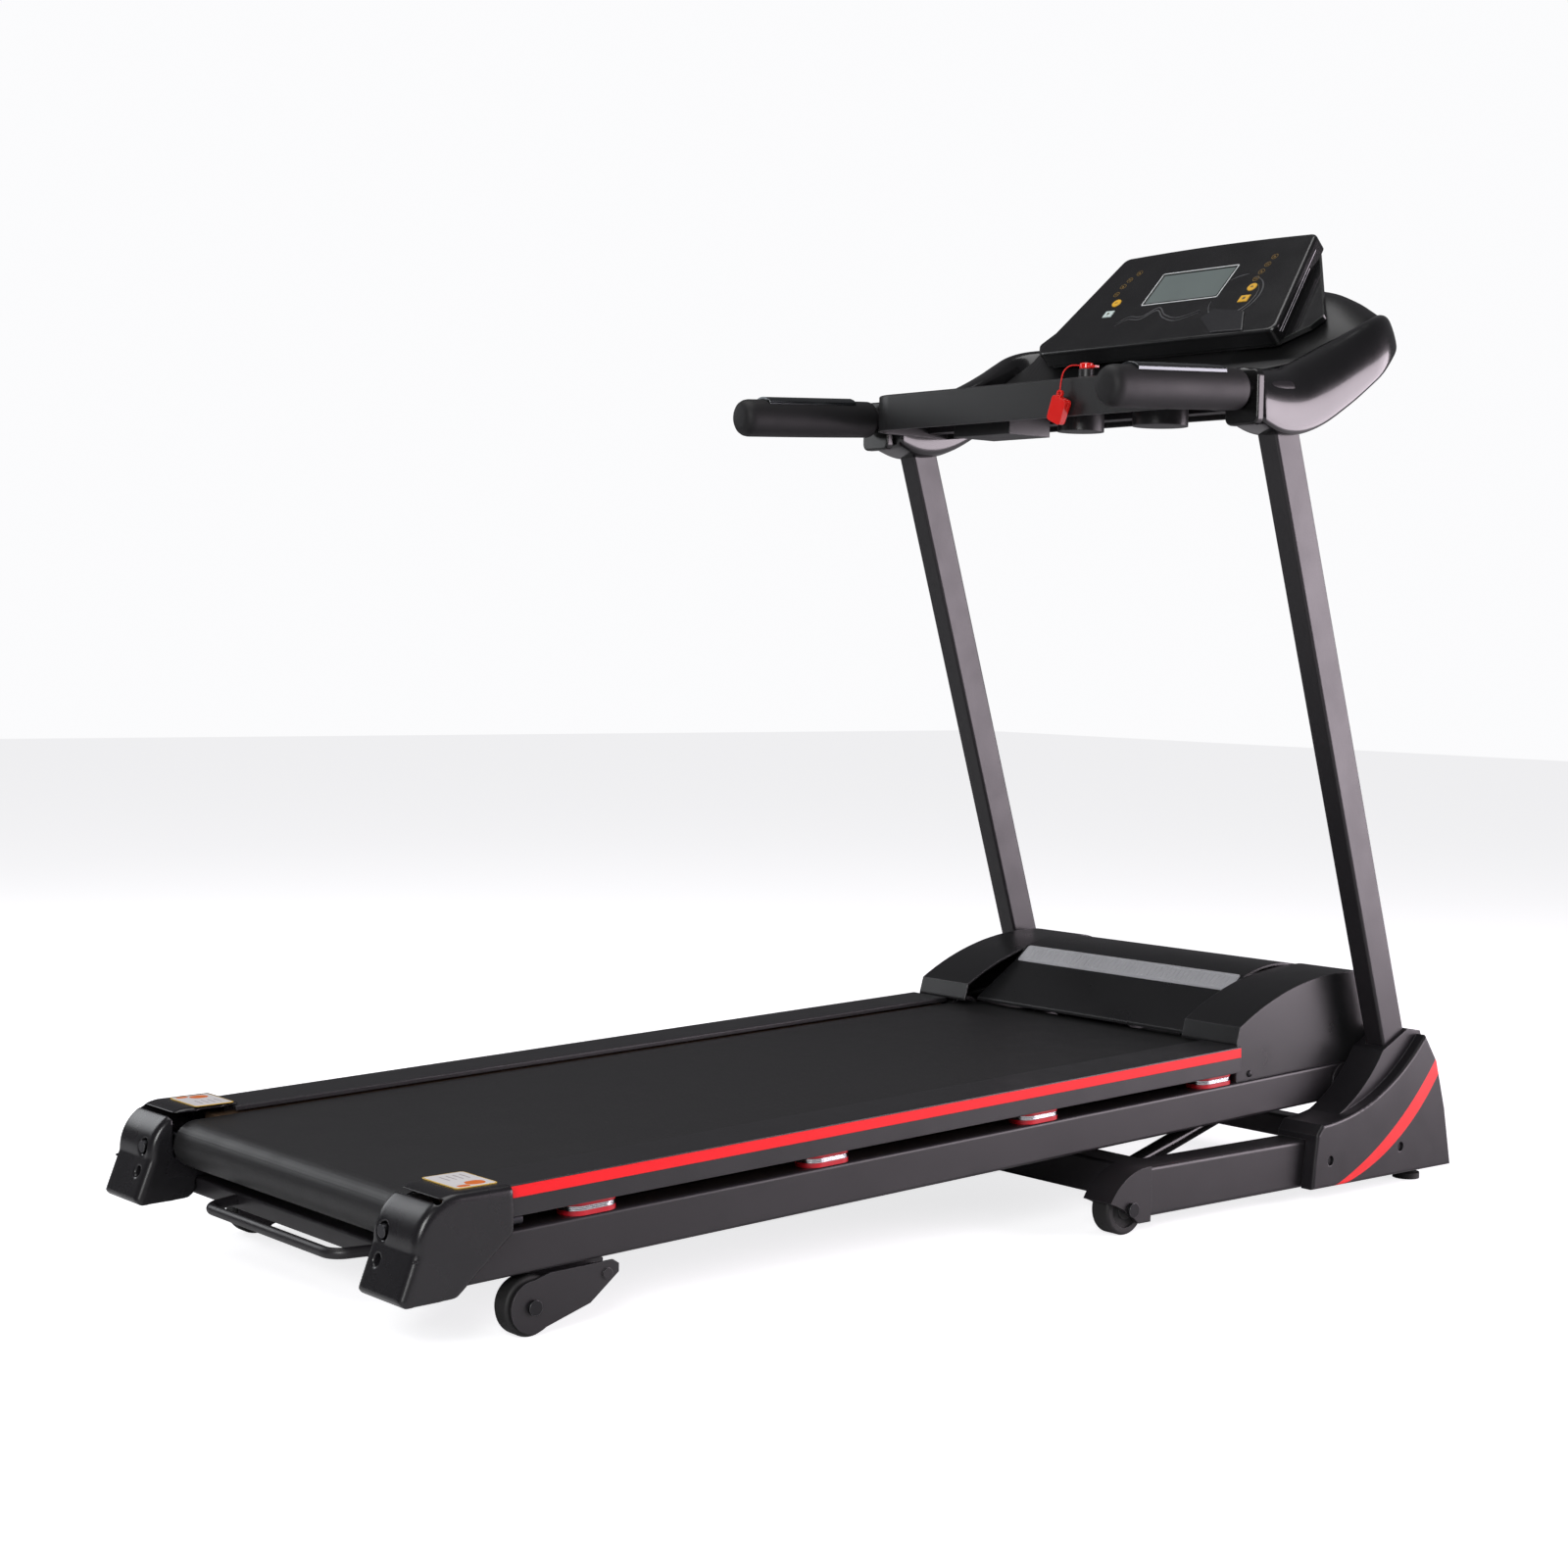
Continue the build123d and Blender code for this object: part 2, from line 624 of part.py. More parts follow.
def arm_outline():
    outline = Polyline((386, 997), (386, 1062))
    outline += ThreePointArc((386, 1062), (440, 1072), (490, 1093))
    outline += Line((490, 1093), (700, 1184))
    outline += ThreePointArc((700, 1184), (724, 1182), (733, 1162))
    outline += Line((733, 1162), (733, 1142))
    outline += ThreePointArc((733, 1142), (640, 1094), (560, 1027))
    outline += ThreePointArc((560, 1027), (450, 987), (386, 997))
    return outline


def arm_plan(x_in, x_out, radius):
    """The arm seen from above: straight along the handle, round at the front corner."""
    front = 638 + (radius ** 2 - (x_in - 270) ** 2) ** 0.5
    middle = (270 + radius * cos(radians(36)), 638 + radius * sin(radians(36)))
    plan = Polyline((x_in, front), (x_in, 380), (x_out, 380), (x_out, 638))
    plan += ThreePointArc((x_out, 638), middle, (x_in, front))
    return Pos(0, 0, 900) * extrude(make_face(plan), 400)


def console_arm():
    arm = slab_x(arm_outline(), ARM_X) & arm_plan(*ARM_X, ARM_X[1] - 270)
    inside = (ARM_X[0] + 4, ARM_X[1] - 4)
    arm -= inset_slab_x(arm_outline(), inside, 4) & arm_plan(*inside, inside[1] - 270)
    plate = block((312, ARM_X[1]), (374, 386), (996, 1064))
    arm += fillet(plate.edges().filter_by(Axis.Y), 7)
    arm -= upright(grow=CLEAR, wall=0)
    arm -= along_grip(round_y(HANDLE_R, (200, 345), 0, 0))
    return arm - block((ARM_X[0] - 1, ARM_X[0] + 5), (440, 466), CROSSBAR_Z)


def tray():
    half, (rear, front), (low, high) = TRAY_HALF, TRAY_Y, TRAY_Z
    body = block((-half, half), (rear, front), (low, high))
    corners = body.edges().filter_by(Axis.Z).group_by(Axis.Y)[0]
    body = fillet(corners, 48)
    hollow = block((-half + 3, half - 3), (rear + 3, front - 3), (low - 1, high - 3))
    hollow = fillet(hollow.edges().filter_by(Axis.Z).group_by(Axis.Y)[0], 45)
    body = fillet(body.edges().group_by(Axis.Z)[-1], 2.5) - hollow
    for x, radius in CUPS:
        depth = high - CUP_FLOOR
        body += Pos(x, CUP_Y, CUP_FLOOR + depth / 2) * Cylinder(radius + 3, depth)
        body -= Pos(x, CUP_Y, CUP_FLOOR + 3 + depth / 2) * Cylinder(radius, depth)
    x, y = POCKET_X, POCKET_Y
    body += block(x, y, (CUP_FLOOR, high))
    body -= block((x[0] + 3, x[1] - 3), (y[0] + 3, y[1] - 3), (CUP_FLOOR + 3, high + 1))
    body += Pos(*KEY_SOCKET, high + 5) * Cylinder(10, 12)
    body -= block((-half - 1, half + 1), (440, 466), CROSSBAR_Z)
    return body - Pos(*KEY_SOCKET, high) * Cylinder(5.1, 60)


def dash():
    outline = Polyline(
        (480.5, 1016), (480.5, 1066.3), (430, 1066.3), (430, 1069), (600, 1106), (668, 1177),
        (704, 1183), (728, 1166), (728, 1140), (640, 1086), (480.5, 1016),
    )
    body = slab_x(outline, (-TRAY_HALF, TRAY_HALF))
    reach = (-TRAY_HALF - 1, TRAY_HALF + 1)
    inner = Polyline(
        (484, 1021), (484, 1077), (598, 1102), (668, 1173), (702, 1179), (725, 1164),
        (725, 1142), (638, 1090), (484, 1021),
    )
    return body - slab_x(inner, reach)


def on_panel(shape):
    """Carries a shape from the panel's face: X across, Y up the slope, Z out of the face."""
    return Pos(0, *PANEL_FOOT) * Rot(PANEL_TILT, 0, 0) * shape


def panel_face(inset=0.0):
    low, high, top = PANEL_BOTTOM_HALF, PANEL_TOP_HALF, PANEL_HEIGHT
    outline = Polyline((-high, top), (-low, 0), (low, 0), (high, top))
    outline += ThreePointArc((high, top), (0, top + 5), (-high, top))
    face = make_face(outline)
    face = fillet(face.vertices(), 14)
    return offset(face, -inset) if inset else face


def pod_front():
    pod = extrude(panel_face(), -PANEL_DEPTH)
    pod = fillet(pod.edges().group_by(Axis.Z)[-1], 5)
    pod -= Pos(0, 0, -3) * extrude(panel_face(inset=3.0), -PANEL_DEPTH)
    width = SCREEN_V[1] - SCREEN_V[0]
    pod -= Pos(0, span(*SCREEN_V), 0) * Box(2 * SCREEN_HALF, width, 20)
    for x in (-KEY_X, KEY_X):
        pod -= Pos(x, SQUARE_KEY_V, 0) * Box(17, 14, 20)
        pod -= Pos(x, ROUND_KEY_V, 0) * Cylinder(8, 20)
    return on_panel(pod)


def key(x, round_head):
    """A cap standing 1 mm proud of the face, with a flange that keeps it in its hole."""
    if round_head:
        cap = Pos(0, 0, -1.5) * Cylinder(7.7, 5) + Pos(0, 0, -4.1) * Cylinder(9, 2)
        v = ROUND_KEY_V
    else:
        cap = Pos(0, 0, -1.5) * Box(16.4, 13.4, 5) + Pos(0, 0, -4.1) * Box(19, 15, 2)
        v = SQUARE_KEY_V
    cap = fillet(cap.edges().group_by(Axis.Z)[-1], 0.8)
    return on_panel(Pos(x, v, 0) * cap)


def screen_window():
    width = SCREEN_V[1] - SCREEN_V[0]
    pane = Box(2 * SCREEN_HALF, width, 2)
    return on_panel(Pos(0, span(*SCREEN_V), -1.6) * pane)


def console_board():
    board = block((-155, 155), (50, 175), (-14, -12))
    board += block((-60, 60), (95, 148), (-12, -2.7))
    return on_panel(board)


def pod_back():
    half = [(170, 200), (262, 52), (250, 32), (205, 4)]
    outline = Polyline(*[(x, v) for x, v in half], *[(-x, v) for x, v in reversed(half)], half[0])
    plate = extrude(make_face(outline), -10)
    plate = fillet(plate.edges().filter_by(Axis.Z), 8)
    plate = chamfer(plate.edges().group_by(Axis.Z)[0], 3)
    return on_panel(Pos(0, 0, -PANEL_DEPTH) * plate)


def safety_key():
    x, y = KEY_SOCKET
    top = TRAY_Z[1] + 11
    head = Pos(x, y, top + 4) * Cylinder(9, 8)
    head = fillet(head.edges().filter_by(GeomType.CIRCLE), 1.5)
    head += block((x, x + 19), (y - 4, y + 4), (top + 1, top + 4))
    return head + Pos(x, y, top - 8) * Cylinder(5, 18)


def safety_cord():
    points = [Vector(*point) for point in CORD_ROUTE]
    runs = [b - a for a, b in zip(points, points[1:])]
    radii = []
    for before, after in zip(runs, runs[1:]):
        turn = radians(before.get_angle(after))
        radii.append(0.45 * min(before.length, after.length) / tan(turn / 2))
    print("cord radii", [round(radius, 1) for radius in radii])
    path = FilletPolyline(*points, radius=radii)
    cord = sweep(Plane(origin=points[0], z_dir=runs[0]) * Circle(CORD_R), path=path)
    print("cord length", round(path.length, 1), "volume share", cord.volume / (path.length * 3.14159))
    return cord


def safety_clip():
    """A clothes clip: two jaws that meet at the bottom, hinged near the top."""
    x, y, z = CORD_ROUTE[-1]
    ring = Pos(x, y, z - 5) * Rot(90, 0, 0) * (Cylinder(5, 4) - Cylinder(2.5, 6))
    jaw = Box(26, 5, 34)
    jaw = fillet(jaw.edges().filter_by(Axis.Y), 5)
    tilt = Pos(x - 2, y, z - 26) * Rot(0, 24, 0)
    clip = tilt * (Pos(0, 2.6, 0) * jaw + Pos(0, -2.6, 0) * Rot(5, 0, 0) * jaw)
    return clip + ring


# ---------------------------------------------------------------- write every node

os.makedirs("parts", exist_ok=True)

tube_right = base_tube()
cover_right = side_cover()
upright_right = upright()
beam_right = frame_beam()
rail_right = side_rail()
cap_right = end_cap()
grip_right = foam_grip()
arm_right = console_arm()

for name, shape in (
    ("side_cover", cover_right), ("upright", upright_right), ("frame_beam", beam_right),
    ("side_rail", rail_right), ("end_cap", cap_right), ("grip", grip_right), ("console_arm", arm_right),
):
    write(f"{name}_right", shape)
    write(f"{name}_left", other_side(shape))

write("base_tube_right", tube_right)
write("base_tube_left", [other_side(shape) for shape in tube_right])

transport_wheel = wheel(WHEEL_R, (313, 341), WHEEL_HUB, WHEEL_BORE_R)
leg_wheel = wheel(LEG_WHEEL_R, (274, 296), LEG_HUB, WHEEL_BORE_R)
for name, shape in (("transport_wheel", transport_wheel), ("leg_wheel", leg_wheel)):
    write(f"{name}_right", shape)
    write(f"{name}_left", other_side(shape))

write("base_cross_tubes", base_cross_tubes())
write("levelling_feet", both_sides(levelling_foot()))
write("base_bolts", base_bolts())
write("strut_cylinder", strut_cylinder())
write("strut_rod", strut_rod())
write("deck_cross_tubes", deck_cross_tubes())
write("lift_loop", lift_loop())
write("walking_board", walking_board())
write("running_belt", running_belt())
write("rail_stripes", both_sides(rail_stripe()))
write("cushion_blocks", cushion_blocks())
write("cushion_rings", cushion_rings())
write("rear_roller", roller(REAR_ROLLER_Y, False))
write("front_roller", roller(FRONT_ROLLER_Y, True))
write("roller_axles", roller_axles())
write("drive_motor", drive_motor())
write("motor_rotor", motor_rotor())
write("drive_belt", drive_belt())
write("controller_board", controller_board())
write("motor_hood", motor_hood())
write("vent_strip", vent_strip())
write("power_switch", power_switch())
write("incline_leg", incline_leg())
write("leg_axles", leg_axles())
write("handle_tubes", handle_tubes())
write("pulse_plates", pulse_plates())
write("tray", tray())
write("dash", dash())
write("pod_front", pod_front())
write("pod_back", pod_back())
write("screen_window", screen_window())
write("console_board", console_board())
write("start_key", key(-KEY_X, False))
write("mode_key", key(-KEY_X, True))
write("stop_key", key(KEY_X, False))
write("speed_key", key(KEY_X, True))
write("safety_key", safety_key())
write("safety_cord", safety_cord())
write("safety_clip", safety_clip())
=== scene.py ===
from math import atan2, cos, degrees, pi, radians, sin

import bmesh
import bpy
from mathutils import Matrix, Vector


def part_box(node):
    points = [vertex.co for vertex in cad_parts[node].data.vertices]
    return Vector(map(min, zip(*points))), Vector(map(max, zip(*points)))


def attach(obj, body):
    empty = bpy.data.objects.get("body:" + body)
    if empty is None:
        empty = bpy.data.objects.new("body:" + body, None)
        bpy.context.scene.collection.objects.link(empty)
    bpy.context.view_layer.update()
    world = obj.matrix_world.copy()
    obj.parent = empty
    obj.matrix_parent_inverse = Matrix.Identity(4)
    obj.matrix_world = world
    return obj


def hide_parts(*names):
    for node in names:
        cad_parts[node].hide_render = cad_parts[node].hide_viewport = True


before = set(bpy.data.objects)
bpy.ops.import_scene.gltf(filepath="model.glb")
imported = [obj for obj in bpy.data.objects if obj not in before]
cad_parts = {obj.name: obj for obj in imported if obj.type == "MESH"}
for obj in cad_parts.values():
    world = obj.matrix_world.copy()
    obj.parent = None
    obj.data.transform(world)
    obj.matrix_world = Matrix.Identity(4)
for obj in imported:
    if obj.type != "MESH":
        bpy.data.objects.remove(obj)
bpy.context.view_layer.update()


# ------------------------------------------------------------------ camera
# A long lens stands to the runner's right and behind, a little above hip height.
# It looks almost level along the deck towards the console.

camera = bpy.data.objects.new("camera", bpy.data.cameras.new("camera"))
bpy.context.scene.collection.objects.link(camera)
yaw, pitch, roll = radians(49.769), radians(3.051), radians(1.083)
forward = Vector((-sin(yaw) * cos(pitch), cos(yaw) * cos(pitch), -sin(pitch)))
level = Vector((cos(yaw), sin(yaw), 0))
upright_axis = level.cross(forward)
across = cos(roll) * level + sin(roll) * upright_axis
upward = cos(roll) * upright_axis - sin(roll) * level
camera.matrix_world = (
    Matrix.Translation((2.4323, -2.1306, 0.7089))
    @ Matrix((across, upward, -forward)).transposed().to_4x4()
)
camera.data.sensor_width = 36.0
camera.data.lens = 58.94
camera.data.clip_end = 60.0
bpy.context.scene.camera = camera


# ------------------------------------------------------------------ safety cord
# A thin braided red cord, limp, tied to the safety key's loop and to the clip's ring.
# It hangs over the tray's rear edge and is all in sight.

CORD_DIAMETER = 0.002
cord_route = (
    (0.1035, 0.334, 1.082), (0.096, 0.324, 1.084), (0.092, 0.313, 1.076),
    (0.091, 0.309, 1.062), (0.090, 0.309, 1.050),
)
cord_line = bpy.data.curves.new("safety_cord_line", "CURVE")
cord_line.dimensions = "3D"
cord_line.bevel_depth = 1.0
cord_line.bevel_resolution = 3
cord_line.use_fill_caps = True
spline = cord_line.splines.new("NURBS")
spline.points.add(len(cord_route) - 1)
for point, place in zip(spline.points, cord_route):
    point.co = (*place, 1.0)
    point.radius = CORD_DIAMETER / 2
spline.order_u = 3
spline.use_endpoint_u = True
cord_piece = bpy.data.objects.new("braided_cord", cord_line)
bpy.context.scene.collection.objects.link(cord_piece)
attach(cord_piece, "safety_key")
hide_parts("safety_cord")


# ------------------------------------------------------------------ studio
# A pale seamless floor, one tall soft box beyond the right side, one overhead and a
# weak one from the left. They give the black paint its long soft reflections.

bpy.context.scene.view_settings.view_transform = "Standard"

floor_mesh = bpy.data.meshes.new("floor")
reach = 14.0
floor_mesh.from_pydata(
    [(-reach, -reach, -0.0005), (reach, -reach, -0.0005), (reach, reach, -0.0005), (-reach, reach, -0.0005)],
    [], [(0, 1, 2, 3)],
)
floor = bpy.data.objects.new("floor", floor_mesh)
bpy.context.scene.collection.objects.link(floor)
floor_paint = bpy.data.materials.new("pale_floor")
floor_paint.use_nodes = True
floor_tree = floor_paint.node_tree
floor_shader = floor_tree.nodes["Principled BSDF"]
floor_shader.inputs["Base Color"].default_value = (0.80, 0.80, 0.81, 1)
floor_shader.inputs["Roughness"].default_value = 0.9
floor_shader.inputs["Specular IOR Level"].default_value = 0.0
floor_shader.inputs["Emission Color"].default_value = (0.97, 0.97, 0.98, 1)
floor_path = floor_tree.nodes.new("ShaderNodeLightPath")
floor_glow = floor_tree.nodes.new("ShaderNodeMath")
floor_glow.operation = "MULTIPLY"
floor_tree.links.new(floor_path.outputs["Is Camera Ray"], floor_glow.inputs[0])
floor_glow.inputs[1].default_value = 0.80
floor_tree.links.new(floor_glow.outputs[0], floor_shader.inputs["Emission Strength"])
floor_mesh.materials.append(floor_paint)

world = bpy.data.worlds.new("studio")
bpy.context.scene.world = world
world.use_nodes = True
world_tree = world.node_tree
seen = world_tree.nodes["Background"]
seen.inputs["Color"].default_value = (0.97, 0.97, 0.98, 1)
seen.inputs["Strength"].default_value = 1.0
lighting = world_tree.nodes.new("ShaderNodeBackground")
lighting.inputs["Color"].default_value = (0.96, 0.94, 1.0, 1)
lighting.inputs["Strength"].default_value = 0.11
world_path = world_tree.nodes.new("ShaderNodeLightPath")
world_mix = world_tree.nodes.new("ShaderNodeMixShader")
world_tree.links.new(world_path.outputs["Is Camera Ray"], world_mix.inputs["Fac"])
world_tree.links.new(lighting.outputs[0], world_mix.inputs[1])
world_tree.links.new(seen.outputs[0], world_mix.inputs[2])
world_tree.links.new(world_mix.outputs[0], world_tree.nodes["World Output"].inputs["Surface"])


def soft_box(name, place, aim, size, power, colour):
    light = bpy.data.lights.new(name, "AREA")
    light.shape = "RECTANGLE"
    light.size, light.size_y = size
    light.energy = power
    light.color = colour
    lamp = bpy.data.objects.new(name, light)
    bpy.context.scene.collection.objects.link(lamp)
    direction = Vector(aim) - Vector(place)
    lamp.matrix_world = Matrix.Translation(place) @ direction.to_track_quat("-Z", "Y").to_matrix().to_4x4()
    return lamp


soft_box("side_box", (2.4, 2.9, 1.0), (0.3, 0.4, 0.8), (2.8, 2.0), 120, (1.0, 0.88, 0.97))
soft_box("top_box", (-0.3, -0.3, 3.4), (0, 0, 0.2), (2.4, 2.4), 42, (1, 1, 1))
soft_box("left_box", (-3.2, -1.4, 1.8), (0, 0, 0.5), (1.6, 1.6), 22, (0.95, 0.97, 1))
soft_box("front_fill", (2.2, -2.9, 1.7), (0, 0, 0.5), (1.4, 1.4), 70, (1, 1, 1))


# ------------------------------------------------------------------ steel frame
# The base, the uprights, the deck's beams and the rear leg are bent and welded mild
# steel tube, blasted and powder coated satin black, which leaves a fine orange peel.


def new_group(name, inputs, outputs):
    group = bpy.data.node_groups.new(name, "ShaderNodeTree")
    for label, kind, value in inputs:
        made = group.interface.new_socket(label, in_out="INPUT", socket_type=kind)
        made.default_value = value
    for label, kind in outputs:
        group.interface.new_socket(label, in_out="OUTPUT", socket_type=kind)
    return group, group.nodes.new("NodeGroupInput"), group.nodes.new("NodeGroupOutput")


FLOAT, COLOUR, VECTOR = "NodeSocketFloat", "NodeSocketColor", "NodeSocketVector"
skin, skin_in, skin_out = new_group(
    "moulded_skin",
    (
        ("Colour", COLOUR, (0.03, 0.03, 0.03, 1)), ("Rubbed colour", COLOUR, (0.2, 0.2, 0.2, 1)),
        ("Roughness", FLOAT, 0.4), ("Grain scale", FLOAT, 900.0), ("Drift", FLOAT, 0.2),
        ("Edge radius", FLOAT, 0.001), ("Rubbing", FLOAT, 0.3),
    ),
    (("Colour", COLOUR), ("Roughness", FLOAT), ("Height", FLOAT), ("Normal", VECTOR)),
)


def place_node(tree, kind, **settings):
    node = tree.nodes.new(kind)
    for label, value in settings.items():
        setattr(node, label, value)
    return node


def noise(tree, scale, detail):
    where = tree.nodes.new("ShaderNodeTexCoord")
    node = tree.nodes.new("ShaderNodeTexNoise")
    node.inputs["Scale"].default_value = scale
    node.inputs["Detail"].default_value = detail
    tree.links.new(where.outputs["Object"], node.inputs["Vector"])
    return node


def math_node(tree, operation, first, second):
    node = place_node(tree, "ShaderNodeMath", operation=operation)
    for socket, value in zip(node.inputs, (first, second)):
        if isinstance(value, (int, float)):
            socket.default_value = value
        else:
            tree.links.new(value, socket)
    return node.outputs[0]


grain = noise(skin, 900.0, 2.0)
skin.links.new(skin_in.outputs["Grain scale"], grain.inputs["Scale"])
skin.links.new(grain.outputs["Fac"], skin_out.inputs["Height"])

drift = noise(skin, 7.0, 3.0)
lighter = math_node(skin, "SUBTRACT", drift.outputs["Fac"], 0.5)
lighter = math_node(skin, "MULTIPLY", lighter, skin_in.outputs["Drift"])
lighter = math_node(skin, "ADD", lighter, 1.0)
tinted = place_node(skin, "ShaderNodeVectorMath", operation="SCALE")
skin.links.new(skin_in.outputs["Colour"], tinted.inputs[0])
skin.links.new(lighter, tinted.inputs["Scale"])

rounding = place_node(skin, "ShaderNodeBevel", samples=4)
skin.links.new(skin_in.outputs["Edge radius"], rounding.inputs["Radius"])
surface = skin.nodes.new("ShaderNodeNewGeometry")
facing = place_node(skin, "ShaderNodeVectorMath", operation="DOT_PRODUCT")
skin.links.new(rounding.outputs["Normal"], facing.inputs[0])
skin.links.new(surface.outputs["Normal"], facing.inputs[1])
edge = math_node(skin, "SUBTRACT", 1.0, facing.outputs["Value"])
edge = math_node(skin, "MULTIPLY", edge, 6.0)
patches = noise(skin, 60.0, 4.0)
edge = math_node(skin, "MULTIPLY", edge, patches.outputs["Fac"])
edge = math_node(skin, "MULTIPLY", edge, skin_in.outputs["Rubbing"])
edge = math_node(skin, "MINIMUM", edge, 1.0)
edge = math_node(skin, "MAXIMUM", edge, 0.0)
rubbed = place_node(skin, "ShaderNodeMix", data_type="RGBA")
skin.links.new(edge, rubbed.inputs["Factor"])
skin.links.new(tinted.outputs[0], rubbed.inputs["A"])
skin.links.new(skin_in.outputs["Rubbed colour"], rubbed.inputs["B"])
skin.links.new(rubbed.outputs["Result"], skin_out.inputs["Colour"])
skin.links.new(rounding.outputs["Normal"], skin_out.inputs["Normal"])

smears = noise(skin, 22.0, 4.0)
uneven = math_node(skin, "SUBTRACT", smears.outputs["Fac"], 0.5)
uneven = math_node(skin, "MULTIPLY", uneven, 0.16)
uneven = math_node(skin, "ADD", uneven, skin_in.outputs["Roughness"])
skin.links.new(uneven, skin_out.inputs["Roughness"])


def finish(name, colour, roughness, rubbed_to=(0.16, 0.155, 0.165), metallic=0.0, grain_scale=900.0,
           grain_depth=0.00006, drift_by=0.25, edge_radius=0.0012, rubbing=0.5, coat=0.0, specular=0.5):
    """A material whose colour, grain and rubbed edges come from the moulded_skin group."""
    material = bpy.data.materials.new(name)
    material.use_nodes = True
    tree = material.node_tree
    shader = tree.nodes["Principled BSDF"]
    effect = place_node(tree, "ShaderNodeGroup", node_tree=skin)
    effect.inputs["Colour"].default_value = (*colour, 1)
    effect.inputs["Rubbed colour"].default_value = (*rubbed_to, 1)
    effect.inputs["Roughness"].default_value = roughness
    effect.inputs["Grain scale"].default_value = grain_scale
    effect.inputs["Drift"].default_value = drift_by
    effect.inputs["Edge radius"].default_value = edge_radius
    effect.inputs["Rubbing"].default_value = rubbing
    bump = tree.nodes.new("ShaderNodeBump")
    bump.inputs["Strength"].default_value = 0.6
    bump.inputs["Distance"].default_value = grain_depth
    tree.links.new(effect.outputs["Height"], bump.inputs["Height"])
    tree.links.new(effect.outputs["Normal"], bump.inputs["Normal"])
    tree.links.new(bump.outputs["Normal"], shader.inputs["Normal"])
    tree.links.new(effect.outputs["Colour"], shader.inputs["Base Color"])
    tree.links.new(effect.outputs["Roughness"], shader.inputs["Roughness"])
    shader.inputs["Metallic"].default_value = metallic
    shader.inputs["Coat Weight"].default_value = coat
    shader.inputs["Coat Roughness"].default_value = 0.06
    shader.inputs["Specular IOR Level"].default_value = specular
    return material


def dress(material, *names):
    """Gives CAD nodes their finish."""
    for name in names:
        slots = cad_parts[name].data.materials
        slots.clear()
        slots.append(material)


def pair(name):
    return f"{name}_left", f"{name}_right"


powder_coat = finish("satin_powder_coat", (0.014, 0.0125, 0.0145), 0.38, grain_scale=650, grain_depth=0.00009)
dress(
    powder_coat, *pair("base_tube"), "base_cross_tubes", *pair("upright"), *pair("frame_beam"),
    "deck_cross_tubes", "lift_loop", "incline_leg", "handle_tubes",
)


# ------------------------------------------------------------------ upright bolts
# Each upright is held to the console's weldment by a black oxide hex bolt and washer
# through its front face, just under the arm.

UPRIGHT_LEAN = radians(18.19)


def add_piece(name, shape, material, body, smooth=True, soften=0.0):
    """Turns a bmesh into a piece that rides on a body."""
    mesh = bpy.data.meshes.new(name)
    bmesh.ops.recalc_face_normals(shape, faces=shape.faces)
    shape.to_mesh(mesh)
    shape.free()
    mesh.materials.append(material)
    piece = bpy.data.objects.new(name, mesh)
    bpy.context.scene.collection.objects.link(piece)
    if soften:
        rounded = piece.modifiers.new("softened edges", "BEVEL")
        rounded.width = soften
        rounded.segments = 3
        rounded.angle_limit = radians(35)
        rounded.harden_normals = True
    if smooth:
        for face in mesh.polygons:
            face.use_smooth = True
    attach(piece, body)
    return piece


def turned(shape, profile, place, sides=24):
    """Adds a solid turned about the local Z axis: profile is (radius, height) from end to end."""
    rings = []
    for radius, height in profile:
        ring = []
        for step in range(sides):
            angle = 2 * pi * step / sides
            ring.append(shape.verts.new(place @ Vector((radius * cos(angle), radius * sin(angle), height))))
        rings.append(ring)
    for low, high in zip(rings, rings[1:]):
        for step in range(sides):
            after = (step + 1) % sides
            shape.faces.new((low[step], low[after], high[after], high[step]))
    shape.faces.new(list(reversed(rings[0])))
    shape.faces.new(rings[-1])


black_oxide = finish("black_oxide_bolt", (0.02, 0.02, 0.022), 0.32, metallic=0.6, rubbed_to=(0.3, 0.3, 0.31))
dress(black_oxide, "base_bolts", "leg_axles")
for side, label in ((1, "right"), (-1, "left")):
    bolts = bmesh.new()
    low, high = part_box(f"upright_{label}")
    middle_x = (low.x + high.x) / 2
    for height in (0.968, 0.981):
        run = high.y - 0.0005 - (height - low.z) * sin(UPRIGHT_LEAN) / cos(UPRIGHT_LEAN)
        out = Matrix.Rotation(-(pi / 2 - UPRIGHT_LEAN), 4, "X")
        seat = Matrix.Translation((middle_x, run, height)) @ out
        turned(bolts, ((0.0085, 0), (0.0085, 0.0012), (0.0075, 0.0016)), seat)
        turned(bolts, ((0.0060, 0.0016), (0.0060, 0.0056), (0.0048, 0.0066)), seat, sides=6)
    add_piece(f"upright_bolts_{label}", bolts, black_oxide, "base", smooth=False, soften=0.0004)


# ------------------------------------------------------------------ side covers
# Two injection moulded ABS shells hide the foot of each upright. A red stripe, wider
# towards the front, is printed on the flat outer face between two arcs.

cover_plastic = finish("cover_plastic", (0.013, 0.012, 0.014), 0.33, grain_scale=1100, edge_radius=0.002)
stripe_tree = cover_plastic.node_tree
spot = stripe_tree.nodes.new("ShaderNodeTexCoord")
axes = stripe_tree.nodes.new("ShaderNodeSeparateXYZ")
stripe_tree.links.new(spot.outputs["Object"], axes.inputs[0])


def distance_from(tree, axes_node, y, z):
    """Distance in the side view from the point (y, z)."""
    dy = math_node(tree, "SUBTRACT", axes_node.outputs["Y"], y)
    dz = math_node(tree, "SUBTRACT", axes_node.outputs["Z"], z)
    square = math_node(tree, "ADD", math_node(tree, "MULTIPLY", dy, dy), math_node(tree, "MULTIPLY", dz, dz))
    return math_node(tree, "SQRT", square, 0.5)


